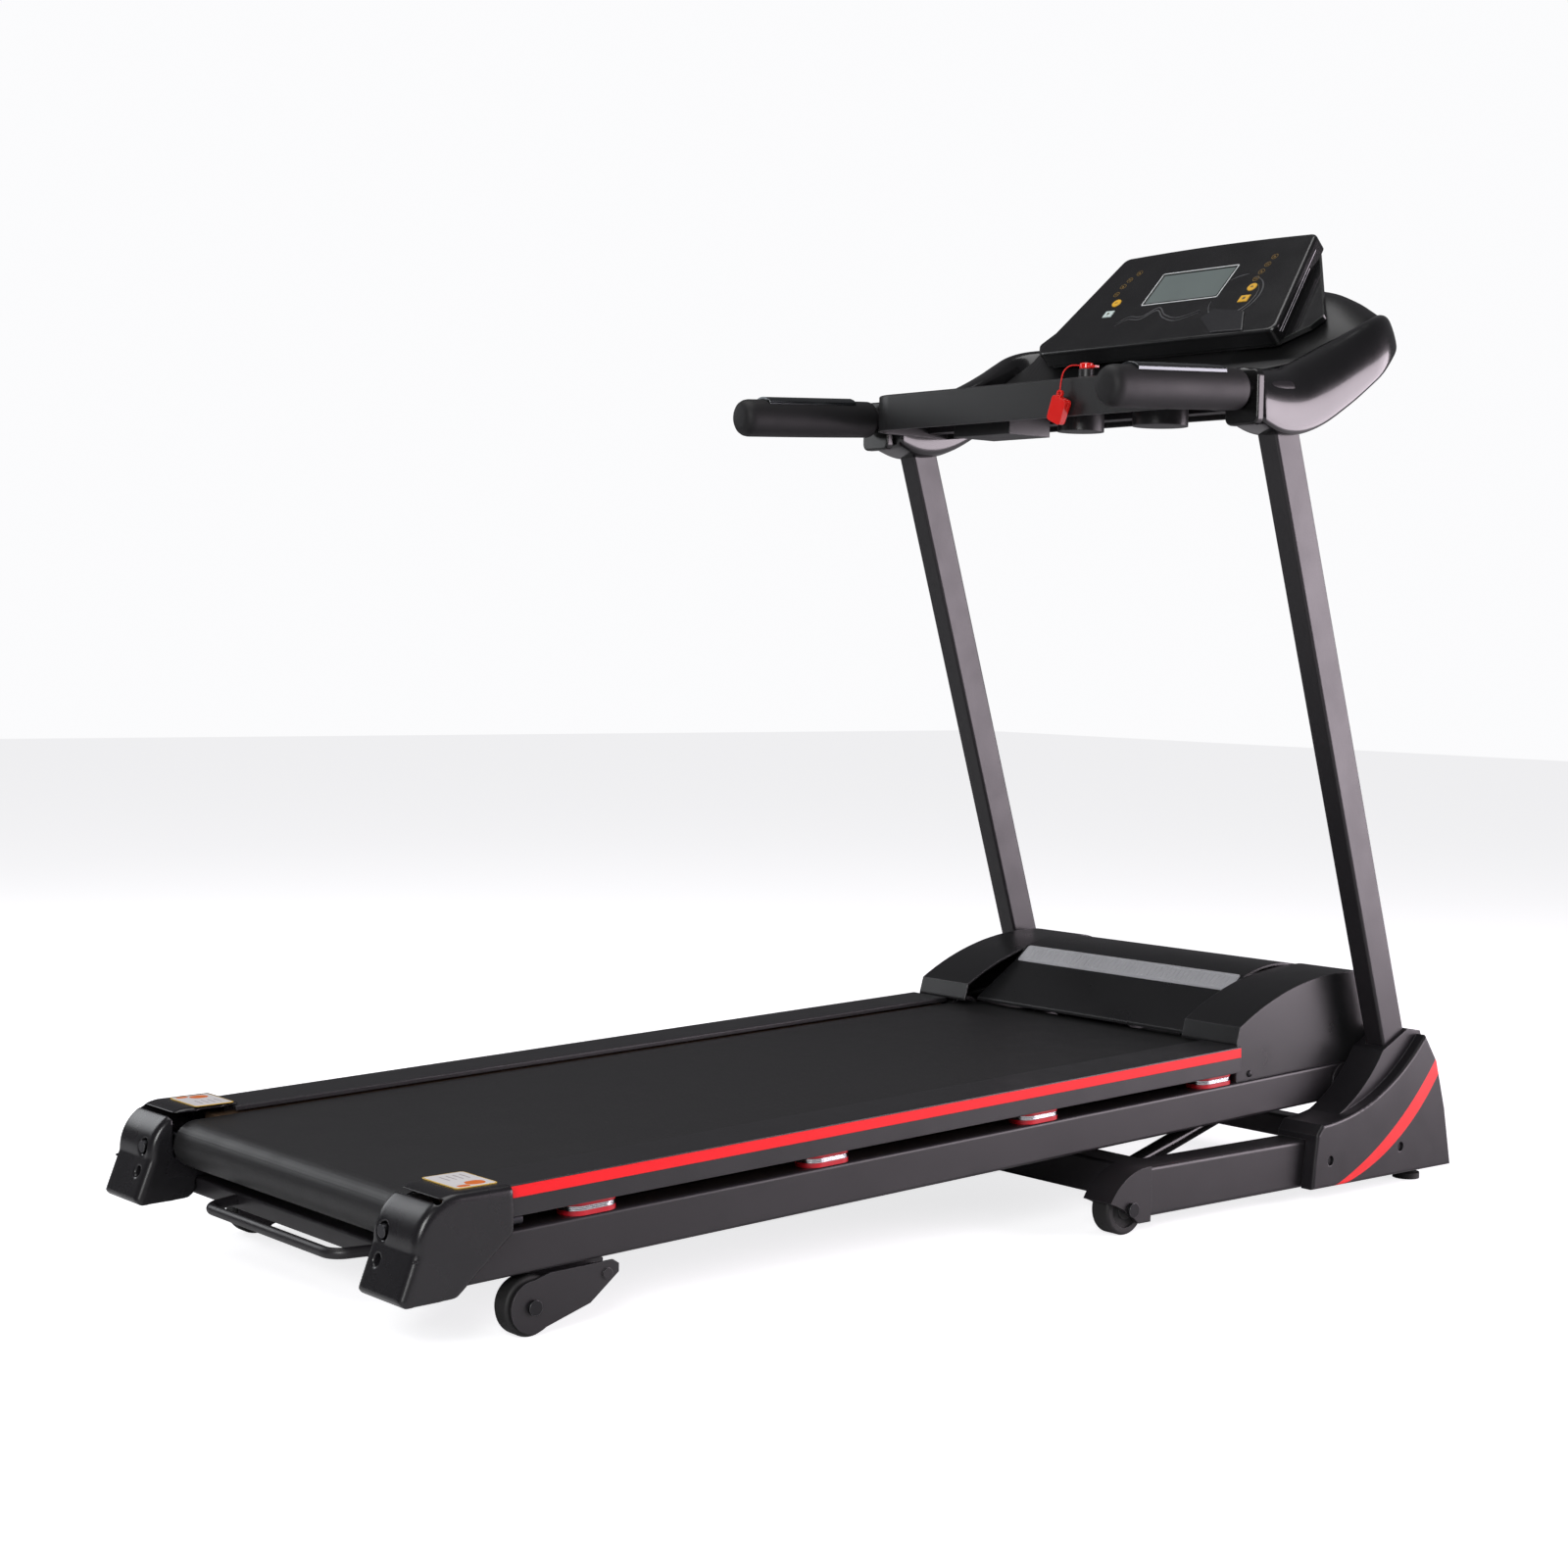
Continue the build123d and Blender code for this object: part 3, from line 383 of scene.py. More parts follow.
UPPER_ARC = (0.4175, 0.4597, 0.4645)
LOWER_ARC = (0.5156, 0.3529, 0.3400)
outside = math_node(
    stripe_tree, "GREATER_THAN", distance_from(stripe_tree, axes, *UPPER_ARC[:2]), UPPER_ARC[2]
)
inside = math_node(
    stripe_tree, "LESS_THAN", distance_from(stripe_tree, axes, *LOWER_ARC[:2]), LOWER_ARC[2]
)
outer_face = math_node(stripe_tree, "ABSOLUTE", axes.outputs["X"], 0)
outer_face = math_node(stripe_tree, "GREATER_THAN", outer_face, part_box("side_cover_right")[1].x - 0.0035)
mask = math_node(stripe_tree, "MULTIPLY", math_node(stripe_tree, "MULTIPLY", outside, inside), outer_face)
painted = place_node(stripe_tree, "ShaderNodeMix", data_type="RGBA")
plain = stripe_tree.nodes["Principled BSDF"].inputs["Base Color"].links[0].from_socket
stripe_tree.links.new(mask, painted.inputs["Factor"])
stripe_tree.links.new(plain, painted.inputs["A"])
painted.inputs["B"].default_value = (0.86, 0.008, 0.012, 1)
stripe_tree.links.new(painted.outputs["Result"], stripe_tree.nodes["Principled BSDF"].inputs["Base Color"])
dress(cover_plastic, *pair("side_cover"))


# ------------------------------------------------------------------ feet and wheels
# Moulded black rubber: two screw-in levelling feet, two transport wheels in the base
# and two wheels on the incline leg, each turned smooth on its tread.

rubber = finish("moulded_rubber", (0.012, 0.012, 0.012), 0.62, grain_scale=1500, grain_depth=0.0001, rubbing=0.25)
dress(rubber, "levelling_feet", *pair("transport_wheel"), *pair("leg_wheel"))


# ------------------------------------------------------------------ running belt
# A two-ply polyester belt with a black PVC face. The face is embossed with a fine
# golf-ball texture so that shoes grip it.

belt_face = finish("belt_face", (0.012, 0.0118, 0.0125), 0.46, grain_scale=1400, drift_by=0.1, edge_radius=0.0003)
belt_tree = belt_face.node_tree
belt_bump = next(node for node in belt_tree.nodes if node.type == "BUMP")
belt_bump.inputs["Distance"].default_value = 0.0003
belt_spot = belt_tree.nodes.new("ShaderNodeTexCoord")
pips = belt_tree.nodes.new("ShaderNodeTexVoronoi")
pips.inputs["Scale"].default_value = 420
pips.inputs["Randomness"].default_value = 0.25
belt_tree.links.new(belt_spot.outputs["Object"], pips.inputs["Vector"])
belt_tree.links.new(pips.outputs["Distance"], belt_bump.inputs["Height"])
dress(belt_face, "running_belt")
dress(finish("drive_belt_rubber", (0.01, 0.01, 0.01), 0.5), "drive_belt")


# ------------------------------------------------------------------ walking board and rails
# A waxed fibreboard panel under the belt, and two extruded foot rails that clip over
# its edges. A bright red strip is slotted into the side of each rail.

dress(finish("waxed_board", (0.16, 0.10, 0.06), 0.4, grain_scale=300, rubbing=0.1), "walking_board")
rail_plastic = finish("rail_plastic", (0.014, 0.0135, 0.015), 0.34, grain_scale=1300, edge_radius=0.0015)
dress(rail_plastic, *pair("side_rail"))
stripe_red = finish(
    "rail_stripe_red", (0.95, 0.006, 0.012), 0.42, rubbed_to=(0.95, 0.05, 0.04), drift_by=0.06, rubbing=0.1,
    specular=0.3,
)
dress(stripe_red, "rail_stripes")

DECK_TILT = Matrix.Rotation(radians(2.137), 4, "X")


# ------------------------------------------------------------------ deck cushions
# Each side of the deck floats on four dampers: red elastomer pads above and below a
# stack of polished steel plates.

cushion_red = finish("cushion_red", (0.55, 0.006, 0.018), 0.36, rubbed_to=(0.7, 0.05, 0.05), rubbing=0.15)
dress(cushion_red, "cushion_blocks")
polished = finish("polished_plate", (0.8, 0.8, 0.82), 0.12, metallic=1.0, rubbed_to=(0.9, 0.9, 0.9), grain_depth=0.00001)
dress(polished, "cushion_rings", "strut_rod")


# ------------------------------------------------------------------ end caps
# Blow-soft corners of injection moulded ABS close the deck's rear. Each carries three
# pairs of small moulded ribs on its outer corner and a printed sticker on top.

cap_plastic = finish("cap_plastic", (0.010, 0.0095, 0.011), 0.27, grain_scale=1000, edge_radius=0.0005, rubbing=0.0)
dress(cap_plastic, *pair("end_cap"))
for side, label in ((1, "right"), (-1, "left")):
    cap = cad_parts[f"end_cap_{label}"]
    moulded = cap.modifiers.new("even skin", "REMESH")
    moulded.mode = "VOXEL"
    moulded.voxel_size = 0.0012
    moulded.use_smooth_shade = True
    flowed = cap.modifiers.new("soft corners", "SMOOTH")
    flowed.factor = 0.5
    flowed.iterations = 26
    ribs = bmesh.new()
    for row in range(3):
        for column in range(2):
            place = DECK_TILT @ Matrix.Translation(
                (side * (0.3228 - 0.0012 * column), -0.797 + 0.024 * column, 0.104 + 0.015 * row - 0.004 * column)
            )
            lie = place @ Matrix.Rotation(radians(-12), 4, "X") @ Matrix.Diagonal((0.6, 2.6, 0.9, 1))
            bmesh.ops.create_uvsphere(ribs, u_segments=16, v_segments=10, radius=0.0024, matrix=lie)
    add_piece(f"cap_ribs_{label}", ribs, cap_plastic, "deck")


# ------------------------------------------------------------------ cap stickers
# A vinyl sticker on each cap's top: a white panel edged in yellow, with an orange
# shape and a few plain bars, and no lettering.


def rounded_outline(half_x, half_y, radius, steps=5):
    outline = []
    for corner, (sx, sy) in enumerate(((1, 1), (-1, 1), (-1, -1), (1, -1))):
        for step in range(steps + 1):
            angle = pi / 2 * (corner + step / steps)
            outline.append((
                sx * (half_x - radius) + radius * cos(angle), sy * (half_y - radius) + radius * sin(angle),
            ))
    return outline


def add_plate(shape, outline, place, bottom, top):
    """A flat plate of the given outline, from bottom to top in the local frame."""
    low = [shape.verts.new(place @ Vector((x, y, bottom))) for x, y in outline]
    high = [shape.verts.new(place @ Vector((x, y, top))) for x, y in outline]
    shape.faces.new(high)
    shape.faces.new(list(reversed(low)))
    for step in range(len(outline)):
        after = (step + 1) % len(outline)
        shape.faces.new((low[step], low[after], high[after], high[step]))


def printed(name, colour, roughness=0.35):
    return finish(name, colour, roughness, rubbed_to=colour, drift_by=0.06, rubbing=0.0, grain_depth=0.00001)


sticker_white = printed("sticker_white", (0.82, 0.80, 0.80))
sticker_yellow = printed("sticker_yellow", (0.85, 0.55, 0.10))
sticker_orange = printed("sticker_orange", (0.88, 0.19, 0.02))
sticker_grey = printed("sticker_grey", (0.45, 0.40, 0.42))
for side, label in ((1, "right"), (-1, "left")):
    lie = DECK_TILT @ Matrix.Translation((side * 0.2745, -0.716, 0.1939)) @ Matrix.Rotation(radians(-1.4), 4, "X")
    layers = (
        ("edge", sticker_yellow, [(rounded_outline(0.033, 0.025, 0.004), 0, 0, 0.0002)]),
        ("panel", sticker_white, [(rounded_outline(0.0315, 0.0235, 0.003), 0, 0, 0.0003)]),
        ("shape", sticker_orange, [
            (rounded_outline(0.0085, 0.011, 0.008), 0.019 * side, 0.006, 0.0004),
            (rounded_outline(0.004, 0.007, 0.003), 0.026 * side, -0.012, 0.0004),
        ]),
        ("bars", sticker_grey, [
            (rounded_outline(0.010, 0.0008, 0.0004), -0.012 * side, 0.014 - 0.008 * bar, 0.0004)
            for bar in range(4)
        ]),
    )
    for part, material, plates in layers:
        sheet = bmesh.new()
        for outline, x, y, top in plates:
            add_plate(sheet, outline, lie @ Matrix.Translation((x, y, 0)), 0.0, 0.0006 + top)
        add_piece(f"sticker_{part}_{label}", sheet, material, "deck", smooth=False)


# ------------------------------------------------------------------ motor hood
# A vacuum-thick ABS hood over the motor, with a raised shoulder each side and a small
# pan-head screw low on each flank.

hood_plastic = finish("hood_plastic", (0.012, 0.0122, 0.013), 0.3, grain_scale=1200, edge_radius=0.003)
dress(hood_plastic, "motor_hood")
screws = bmesh.new()
for side in (1, -1):
    for y, z in ((0.475, 0.167), (0.730, 0.176)):
        seat = Matrix.Translation((side * 0.299, y, z)) @ Matrix.Rotation(side * pi / 2, 4, "Y")
        turned(screws, ((0.0045, 0), (0.0045, 0.001), (0.0034, 0.0022), (0.0012, 0.0028)), seat)
add_piece("hood_screws", screws, black_oxide, "deck")


# ------------------------------------------------------------------ vent strip
# A silver painted trim strip across the hood, with a raised rim and a row of short
# ribs pressed across it.

low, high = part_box("vent_strip")
slope = atan2(high.z - low.z - 0.0016, high.y - low.y - 0.0013)
strip_place = (
    Matrix.Translation(((low.x + high.x) / 2, (low.y + high.y) / 2, (low.z + high.z) / 2))
    @ Matrix.Rotation(slope, 4, "X")
)
STRIP_HALF = ((high.x - low.x) / 2, 0.016)
silver = finish(
    "silver_paint", (0.66, 0.66, 0.69), 0.34, rubbed_to=(0.8, 0.8, 0.82), metallic=0.35, rubbing=0.3,
    edge_radius=0.0004,
)
strip = bmesh.new()
add_plate(strip, rounded_outline(*STRIP_HALF, 0.004), strip_place, -0.001, 0.0002)
rim_outer = rounded_outline(STRIP_HALF[0] - 0.001, STRIP_HALF[1] - 0.001, 0.004)
rim_inner = rounded_outline(STRIP_HALF[0] - 0.003, STRIP_HALF[1] - 0.003, 0.003)
for step in range(len(rim_outer)):
    after = (step + 1) % len(rim_outer)
    quad = [rim_outer[step], rim_outer[after], rim_inner[after], rim_inner[step]]
    add_plate(strip, quad, strip_place, 0.0002, 0.001)
RIB_COUNT = 44
for rib in range(RIB_COUNT):
    x = (rib - (RIB_COUNT - 1) / 2) * (2 * STRIP_HALF[0] - 0.022) / RIB_COUNT
    add_plate(strip, rounded_outline(0.0013, 0.0105, 0.0011, 3), strip_place @ Matrix.Translation((x, 0, 0)), 0, 0.001)
strip_piece = add_piece("ribbed_strip", strip, silver, "deck", smooth=False)
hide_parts("vent_strip")

switch_red = finish("switch_red", (0.6, 0.01, 0.01), 0.2, rubbed_to=(0.7, 0.1, 0.1))
dress(switch_red, "power_switch")


# ------------------------------------------------------------------ drive
# Ground steel rollers and axles, the direct current motor in grey paint, its rotor and
# flywheel, and the two green circuit boards.

turned_steel = finish(
    "turned_steel", (0.45, 0.45, 0.46), 0.3, metallic=1.0, rubbed_to=(0.6, 0.6, 0.6), grain_depth=0.00003,
)
dress(turned_steel, "front_roller", "rear_roller", "motor_rotor")
dress(finish("axle_steel", (0.05, 0.05, 0.055), 0.4, metallic=1.0, rubbed_to=(0.3, 0.3, 0.3)), "roller_axles")
dress(finish("motor_paint", (0.07, 0.07, 0.075), 0.4), "drive_motor")
dress(finish("circuit_lacquer", (0.01, 0.12, 0.045), 0.3, rubbing=0.1), "controller_board", "console_board")
dress(finish("strut_gloss", (0.01, 0.01, 0.01), 0.18), "strut_cylinder")


# ------------------------------------------------------------------ hand grips
# Closed-cell foam sleeves pushed over the handle tubes. They swell a little between
# their rounded ends and have a fine open skin.

foam_skin = finish(
    "foam_skin", (0.011, 0.0105, 0.0115), 0.58, grain_scale=700, grain_depth=0.00022, rubbing=0.15,
    edge_radius=0.0006, specular=0.35,
)
GRIP_SLOPE = radians(3.4)
GRIP_HALF = (0.0236, 0.0261)
GRIP_REAR, GRIP_FRONT = 0.1229, 0.3618
for side, label in ((1, "right"), (-1, "left")):
    low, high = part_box(f"grip_{label}")
    centre_x = (low.x + high.x) / 2
    lie = Matrix.Translation((centre_x, GRIP_REAR, 1.0245)) @ Matrix.Rotation(GRIP_SLOPE, 4, "X")
    length = (GRIP_FRONT - GRIP_REAR) / cos(GRIP_SLOPE)
    stations = [(0.0, 0.45), (0.0006, 0.60), (0.0022, 0.74), (0.0052, 0.87), (0.0095, 0.955), (0.015, 0.99)]
    for step in range(9):
        share = (step + 1) / 10
        stations.append((0.015 + share * (length - 0.03), 0.99 + 0.012 * sin(pi * share)))
    stations += [(length - 0.012, 0.99), (length - 0.004, 0.985), (length - 0.001, 0.955), (length, 0.9)]
    foam = bmesh.new()
    rings = []
    for along, swell in stations:
        ring = []
        for step in range(40):
            angle = 2 * pi * step / 40
            x, z = GRIP_HALF[0] * swell * cos(angle), GRIP_HALF[1] * swell * sin(angle)
            ring.append(foam.verts.new(lie @ Vector((x, along, z))))
        rings.append(ring)
    for near, far in zip(rings, rings[1:]):
        for step in range(40):
            after = (step + 1) % 40
            foam.faces.new((near[step], near[after], far[after], far[step]))
    foam.faces.new(list(reversed(rings[0])))
    foam.faces.new(rings[-1])
    grip = add_piece(f"foam_sleeve_{label}", foam, foam_skin, "base")
    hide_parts(f"grip_{label}")

pulse_metal = finish(
    "pulse_plate_metal", (0.10, 0.11, 0.115), 0.12, metallic=0.9, rubbed_to=(0.5, 0.5, 0.52), grain_depth=0.00001,
)
dress(pulse_metal, "pulse_plates")


# ------------------------------------------------------------------ console arms
# A glossy black ABS ear each side, moulded in one piece. It leaves the grip's collar,
# drops into a belly under the tray, then climbs and turns inward to form a bowl.

BELLY = ((0.385, 1.0010), (0.407, 0.9930), (0.429, 0.9875), (0.457, 0.9876), (0.484, 0.9930), (0.518, 1.0060),
         (0.552, 1.0245), (0.580, 1.0410), (0.608, 1.0594), (0.633, 1.0760), (0.650, 1.0900), (0.671, 1.1040),
         (0.695, 1.1150), (0.731, 1.1240))
CROWN = ((0.385, 1.071), (0.430, 1.072), (0.470, 1.077), (0.520, 1.096), (0.580, 1.124), (0.620, 1.144),
         (0.655, 1.156), (0.690, 1.163), (0.731, 1.165))
ARM_OUT = 0.363
ARM_THICK = 0.064
TURN_CENTRE = (0.248, 0.616)
TURN_RADIUS = ARM_OUT - TURN_CENTRE[0]
ARM_MIDDLE = 0.3000


def height_at(points, y):
    """The height of a smooth line through the points, by cubic interpolation."""
    last = len(points) - 1
    place = max(0, min(last - 1, sum(1 for point in points[1:-1] if point[0] <= y)))
    before, start, end, beyond = (points[max(0, min(last, place + step))] for step in (-1, 0, 1, 2))
    width = end[0] - start[0]
    share = (y - start[0]) / width
    lean_in = (end[1] - before[1]) / (end[0] - before[0]) * width
    lean_out = (beyond[1] - start[1]) / (beyond[0] - start[0]) * width
    square, cube = share ** 2, share ** 3
    return (
        (2 * cube - 3 * square + 1) * start[1] + (cube - 2 * square + share) * lean_in
        + (3 * square - 2 * cube) * end[1] + (cube - square) * lean_out
    )


# Sections as (share of the thickness inward, share of the height), going round from below.
STRAIGHT_SECTION = (
    (0.30, 0.00), (0.14, 0.00), (0.05, 0.02), (0.01, 0.07), (0.00, 0.16), (0.01, 0.32), (0.035, 0.48),
    (0.085, 0.64), (0.17, 0.78), (0.30, 0.89), (0.45, 0.96), (0.62, 1.00), (0.80, 0.985), (0.93, 0.95),
    (1.00, 0.87), (1.00, 0.60), (1.00, 0.32), (0.98, 0.12), (0.88, 0.03), (0.60, 0.00),
)
TURNED_SECTION = (
    (0.30, 0.02), (0.16, 0.01), (0.06, 0.03), (0.01, 0.08), (0.00, 0.18), (0.03, 0.36), (0.07, 0.54),
    (0.12, 0.72), (0.17, 0.86), (0.23, 0.95), (0.30, 0.99), (0.39, 1.00), (0.50, 0.95), (0.60, 0.84),
    (0.68, 0.68), (0.76, 0.46), (0.84, 0.26), (0.88, 0.12), (0.80, 0.05), (0.55, 0.02),
)


def arm_mesh(side):
    shape = bmesh.new()
    stations = []
    for step in range(23):
        stations.append((0.386 + (TURN_CENTRE[1] - 0.386) * step / 22, 0.0))
    for step in range(1, 15):
        stations.append((TURN_CENTRE[1], radians(72.5) * step / 14))
    rings = []
    for y, turn in stations:
        reach_y = y + TURN_RADIUS * sin(turn)
        floor_z, crown_z = height_at(BELLY, reach_y), height_at(CROWN, reach_y)
        blend = max(0.0, min(1.0, (reach_y - 0.54) / 0.15))
        blend = blend * blend * (3 - 2 * blend)
        ring = []
        for (in_a, up_a), (in_b, up_b) in zip(STRAIGHT_SECTION, TURNED_SECTION):
            inward = ((1 - blend) * in_a + blend * in_b) * ARM_THICK
            share = (1 - blend) * up_a + blend * up_b
            x = TURN_CENTRE[0] + (TURN_RADIUS - inward) * cos(turn)
            point_y = y + (TURN_RADIUS - inward) * sin(turn)
            x = max(x, ARM_MIDDLE)
            ring.append(shape.verts.new((side * x, point_y, floor_z + share * (crown_z - floor_z))))
        rings.append(ring)
    count = len(STRAIGHT_SECTION)
    for near, far in zip(rings, rings[1:]):
        for step in range(count):
            after = (step + 1) % count
            shape.faces.new((near[step], near[after], far[after], far[step]))
    shape.faces.new(rings[0])
    shape.faces.new(list(reversed(rings[-1])))
    return shape


gloss_black = finish(
    "gloss_black", (0.006, 0.006, 0.0065), 0.2, rubbed_to=(0.05, 0.05, 0.05), drift_by=0.1, rubbing=0.2,
    grain_depth=0.000012, edge_radius=0.0006, coat=0.35,
)
collar_black = finish("collar_black", (0.006, 0.006, 0.006), 0.24, edge_radius=0.001, grain_depth=0.00001)
for side, label in ((1, "right"), (-1, "left")):
    arm = add_piece(f"ear_{label}", arm_mesh(side), gloss_black, "base")
    smoother = arm.modifiers.new("smooth moulding", "SUBSURF")
    smoother.levels = smoother.render_levels = 2
    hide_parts(f"console_arm_{label}")
    collar = bmesh.new()
    stand = Matrix.Translation((side * 0.339, 0.380, 1.030)) @ Matrix.Rotation(pi / 2, 4, "X")
    add_plate(collar, rounded_outline(0.0265, 0.0345, 0.010, 8), stand, -0.0065, 0.0065)
    add_piece(f"grip_collar_{label}", collar, collar_black, "base", soften=0.003)


# ------------------------------------------------------------------ tray and dash
# A satin ABS tray with two cup wells and a phone pocket spans the handles. The dash
# behind it rises to carry the console. Thin raised lips ring the wells.

tray_plastic = finish("tray_plastic", (0.013, 0.013, 0.0135), 0.36, grain_scale=1200, edge_radius=0.0025)
dress(tray_plastic, "tray")

DASH_RIM = ((0.0, 1.183), (0.110, 1.183), (0.150, 1.200), (0.185, 1.209), (0.211, 1.205), (0.234, 1.199),
            (0.257, 1.189), (0.280, 1.175), (0.304, 1.159))
dash_shape = bmesh.new()
rings = []
for step in range(-32, 33):
    x = 0.304 * step / 32
    rim = height_at(DASH_RIM, abs(x))
    outline = (
        (0.4805, 1.016), (0.4805, 1.0663), (0.430, 1.0663), (0.430, 1.069), (0.600, 1.106),
        (0.652, rim - 0.022), (0.676, rim - 0.005), (0.697, rim), (0.714, rim - 0.003), (0.726, rim - 0.014),
        (0.729, rim - 0.032), (0.728, 1.138), (0.640, 1.086),
    )
    rings.append([dash_shape.verts.new((x, y, z)) for y, z in outline])
for near, far in zip(rings, rings[1:]):
    for step in range(len(near)):
        after = (step + 1) % len(near)
        dash_shape.faces.new((near[step], near[after], far[after], far[step]))
dash_shape.faces.new(rings[0])
dash_shape.faces.new(list(reversed(rings[-1])))
dash_shell = add_piece("dash_shell", dash_shape, tray_plastic, "base")
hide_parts("dash")
well_lips = bmesh.new()
tray_low, tray_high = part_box("tray")
WELLS = ((0.190, 0.033), (0.050, 0.028))
for x, radius in WELLS:
    seat = Matrix.Translation((x, 0.392, 1.066))
    inner, outer = radius + 0.0002, radius + 0.0040
    for step in range(48):
        start, end = 2 * pi * step / 48, 2 * pi * (step + 1) / 48
        quad = [
            (outer * cos(start), outer * sin(start)), (outer * cos(end), outer * sin(end)),
            (inner * cos(end), inner * sin(end)), (inner * cos(start), inner * sin(start)),
        ]
        add_plate(well_lips, quad, seat, 0.0, 0.0016)
bmesh.ops.remove_doubles(well_lips, verts=well_lips.verts, dist=0.00002)
add_piece("well_lips", well_lips, gloss_black, "base", smooth=False)


# ------------------------------------------------------------------ console pod
# Two glossy ABS shells with a printed face. A pair of bright trim lines runs up each
# flank, and a smoked boss stands on the lower right corner.

pod_plastic = finish(
    "pod_plastic", (0.007, 0.007, 0.0075), 0.22, rubbed_to=(0.07, 0.09, 0.07), drift_by=0.1, grain_depth=0.00001,
    edge_radius=0.0025, coat=0.3,
)
dress(pod_plastic, "pod_front", "pod_back")
PANEL = Matrix.Translation((0, 0.577, 1.142)) @ Matrix.Rotation(radians(46.4), 4, "X")
PRINT_LIFT = 0.0003
bright_trim = printed("bright_trim", (0.55, 0.52, 0.56), 0.25)
trims = bmesh.new()
flank = Vector((-0.046, 0.207)).normalized()
for side in (1, -1):
    for depth, start, end in ((-0.0105, 0.010, 0.186), (-0.0145, 0.014, 0.150)):
        near = Vector((0.222, 0)) + flank * start
        far = Vector((0.222, 0)) + flank * end
        outward = Vector((flank.y, -flank.x)) * 0.0004
        corners = []
        for along, rise in ((near, -0.0005), (far, -0.0005), (far, 0.0005), (near, 0.0005)):
            corners.append((along + outward, rise))
        verts = [trims.verts.new(PANEL @ Vector((side * p.x, p.y, depth + rise))) for p, rise in corners]
        verts += [
            trims.verts.new(PANEL @ Vector((side * (p.x - 2 * outward.x), p.y - 2 * outward.y, depth + rise)))
            for p, rise in corners
        ]
        for face in ((0, 1, 2, 3), (7, 6, 5, 4), (0, 4, 5, 1), (1, 5, 6, 2), (2, 6, 7, 3), (3, 7, 4, 0)):
            trims.faces.new([verts[corner] for corner in face])
add_piece("flank_trims", trims, bright_trim, "base", smooth=False)

smoked = finish("smoked_boss", (0.022, 0.022, 0.024), 0.16, drift_by=0.15, coat=0.5, edge_radius=0.002)
boss = bmesh.new()
boss_outline = ((0.070, 0.040), (0.084, 0.058), (0.144, 0.047), (0.166, 0.004), (0.108, 0.006))
add_plate(boss, boss_outline, PANEL, -0.001, 0.0028)
boss_piece = add_piece("smoked_boss", boss, smoked, "base", soften=0.0022)
rounder = boss_piece.modifiers.new("rounded corners", "SUBSURF")
rounder.levels = rounder.render_levels = 2


# ------------------------------------------------------------------ console display
# A reflective liquid crystal under a clear window, framed by a printed white line.

display = finish("liquid_crystal", (0.155, 0.185, 0.18), 0.2, rubbed_to=(0.2, 0.22, 0.21), drift_by=0.35, rubbing=0)
dress(display, "screen_window")
white_ink = printed("white_ink", (0.75, 0.77, 0.78))
SCREEN_CENTRE = 0.1215


def add_ring(shape, outer, inner, place):
    for step in range(len(outer)):
        after = (step + 1) % len(outer)
        add_plate(shape, [outer[step], outer[after], inner[after], inner[step]], place, 0, PRINT_LIFT)


frame_line = bmesh.new()
screen_place = PANEL @ Matrix.Translation((0, SCREEN_CENTRE, 0))
add_ring(
    frame_line, rounded_outline(0.0704, 0.0349, 0.003), rounded_outline(0.0686, 0.0331, 0.002), screen_place,
)
add_piece("screen_frame_line", frame_line, white_ink, "base", smooth=False)


# ------------------------------------------------------------------ printed graphics
# Silk-screened grey swooshes and arcs, and two columns of small gold pictograms made
# only of rings, bars and triangles.

grey_ink = printed("grey_ink", (0.085, 0.085, 0.09), 0.3)
gold_ink = printed("gold_ink", (0.26, 0.16, 0.045), 0.3)


def smooth_line(points, steps=12):
    """Points along a smooth line through those given, by cubic interpolation."""
    line = []
    last = len(points) - 1
    for index in range(last):
        before, start = Vector(points[max(0, index - 1)]), Vector(points[index])
        end, beyond = Vector(points[index + 1]), Vector(points[min(last, index + 2)])
        for step in range(steps):
            t = step / steps
            line.append(0.5 * (
                2 * start + (end - before) * t + (2 * before - 5 * start + 4 * end - beyond) * t * t
                + (3 * start - before - 3 * end + beyond) * t ** 3
            ))
    return line + [Vector(points[-1])]


def add_stroke(shape, points, widest):
    """A printed stroke that thins towards both its ends."""
    edges = []
    for index, point in enumerate(points):
        ahead, behind = points[min(index + 1, len(points) - 1)], points[max(index - 1, 0)]
        run = (ahead - behind).normalized()
        half = widest / 2 * (0.25 + 0.75 * sin(pi * index / (len(points) - 1)))
        edges.append((point + Vector((-run.y, run.x)) * half, point - Vector((-run.y, run.x)) * half))
    for (left, right), (next_left, next_right) in zip(edges, edges[1:]):
        add_plate(shape, [right, next_right, next_left, left], PANEL, 0, PRINT_LIFT)


def arc_points(centre, radius, start, end, steps=28):
    turns = [radians(start + (end - start) * step / steps) for step in range(steps + 1)]
    return [Vector((centre[0] + radius * cos(turn), centre[1] + radius * sin(turn))) for turn in turns]


strokes = bmesh.new()
for shift in (0.0, -0.006):
    add_stroke(strokes, smooth_line([
        (-0.094, 0.052 + shift), (-0.078, 0.064 + shift), (-0.052, 0.062 + shift), (-0.030, 0.078 + shift),
        (-0.008, 0.060 + shift), (0.022, 0.050 + shift), (0.056, 0.062 + shift),
    ]), 0.0022)
for radius, start, end in ((0.0385, 182, 400), (0.0450, -60, 75), (0.0510, 92, 126)):
    add_stroke(strokes, arc_points((0.104, 0.080), radius, start, end), 0.0026)
add_piece("grey_swooshes", strokes, grey_ink, "base", smooth=False)

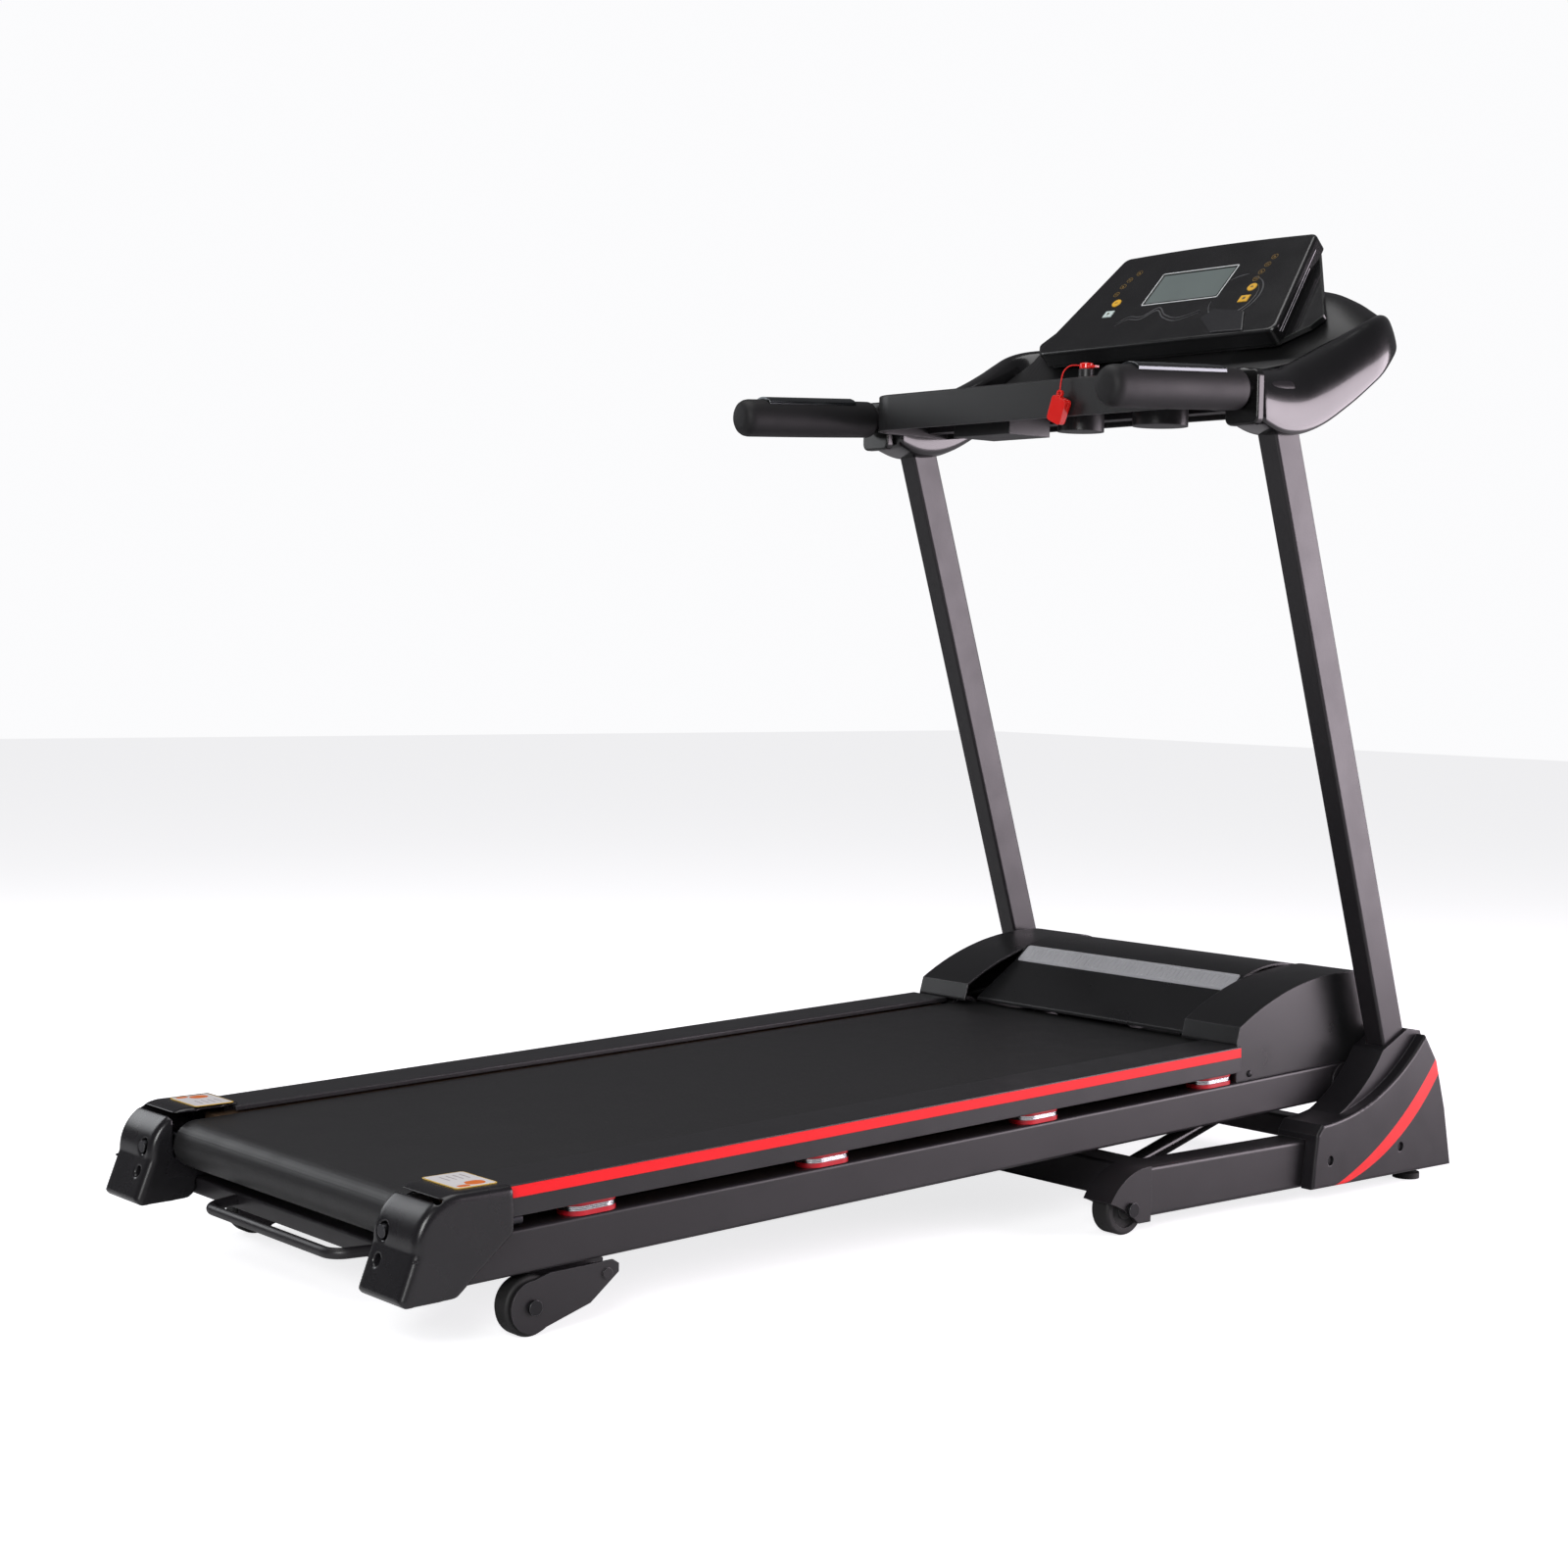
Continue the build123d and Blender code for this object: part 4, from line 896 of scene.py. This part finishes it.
icons = bmesh.new()
LEFT_ICONS = ((-0.139, 0.121), (-0.137, 0.138), (-0.133, 0.152), (-0.123, 0.166))
RIGHT_ICONS = ((0.121, 0.118), (0.122, 0.133), (0.124, 0.148), (0.127, 0.164))
for number, (x, v) in enumerate(LEFT_ICONS + RIGHT_ICONS):
    place = PANEL @ Matrix.Translation((x, v, 0))
    add_ring(icons, rounded_outline(0.0052, 0.0052, 0.0051, 6), rounded_outline(0.0044, 0.0044, 0.0043, 6), place)
    if number % 2:
        add_plate(icons, [(-0.0022, -0.0018), (0.0022, -0.0018), (0, 0.0024)], place, 0, PRINT_LIFT)
    else:
        for bar in (-0.0014, 0.0014):
            add_plate(icons, rounded_outline(0.0005, 0.0022, 0.0004, 2),
                      place @ Matrix.Translation((bar, 0, 0)), 0, PRINT_LIFT)
add_piece("gold_pictograms", icons, gold_ink, "base", smooth=False)


# ------------------------------------------------------------------ keys
# Four caps under a printed film: a pale square one to start, a gold square one to
# stop, and two gold round ones, each with a small raised mark.

key_white = finish("key_white", (0.62, 0.72, 0.70), 0.35, rubbed_to=(0.7, 0.7, 0.7), rubbing=0.1)
key_gold = finish("key_gold", (0.80, 0.44, 0.03), 0.35, rubbed_to=(0.9, 0.6, 0.2), rubbing=0.1)
dress(key_white, "start_key")
dress(key_gold, "mode_key", "stop_key", "speed_key")
key_mark = printed("key_mark", (0.12, 0.10, 0.06))
KEY_TOP = 0.00095
for name, x, v, body, marks in (
    ("start_mark", -0.125, 0.076, "start_key", [[(-0.002, -0.003), (0.0032, 0), (-0.002, 0.003)]]),
    ("stop_mark", 0.125, 0.076, "stop_key", [rounded_outline(0.0024, 0.0024, 0.0004, 2)]),
    ("mode_mark", -0.125, 0.100, "mode_key", [rounded_outline(0.0032, 0.0006, 0.0005, 2)]),
    ("speed_mark", 0.125, 0.100, "speed_key", [[(-0.003, -0.0015), (0.003, -0.0015), (0, 0.0028)]]),
):
    sign = bmesh.new()
    for outline in marks:
        add_plate(sign, outline, PANEL @ Matrix.Translation((x, v, KEY_TOP)), 0, 0.0002)
    add_piece(name, sign, key_mark, body, smooth=False)


# ------------------------------------------------------------------ safety key and clip
# Bright red injection moulded key and clothes clip, a little translucent in real life,
# and the braided polyester cord between them.

safety_red = finish("safety_red", (0.80, 0.012, 0.008), 0.16, rubbed_to=(0.95, 0.2, 0.15), coat=0.4, rubbing=0.3)
dress(safety_red, "safety_key", "safety_clip")
braid = finish("braided_red", (0.70, 0.012, 0.008), 0.7, rubbed_to=(0.8, 0.1, 0.1), grain_scale=2500,
               grain_depth=0.0002, rubbing=0.0)
cord_line.materials.append(braid)
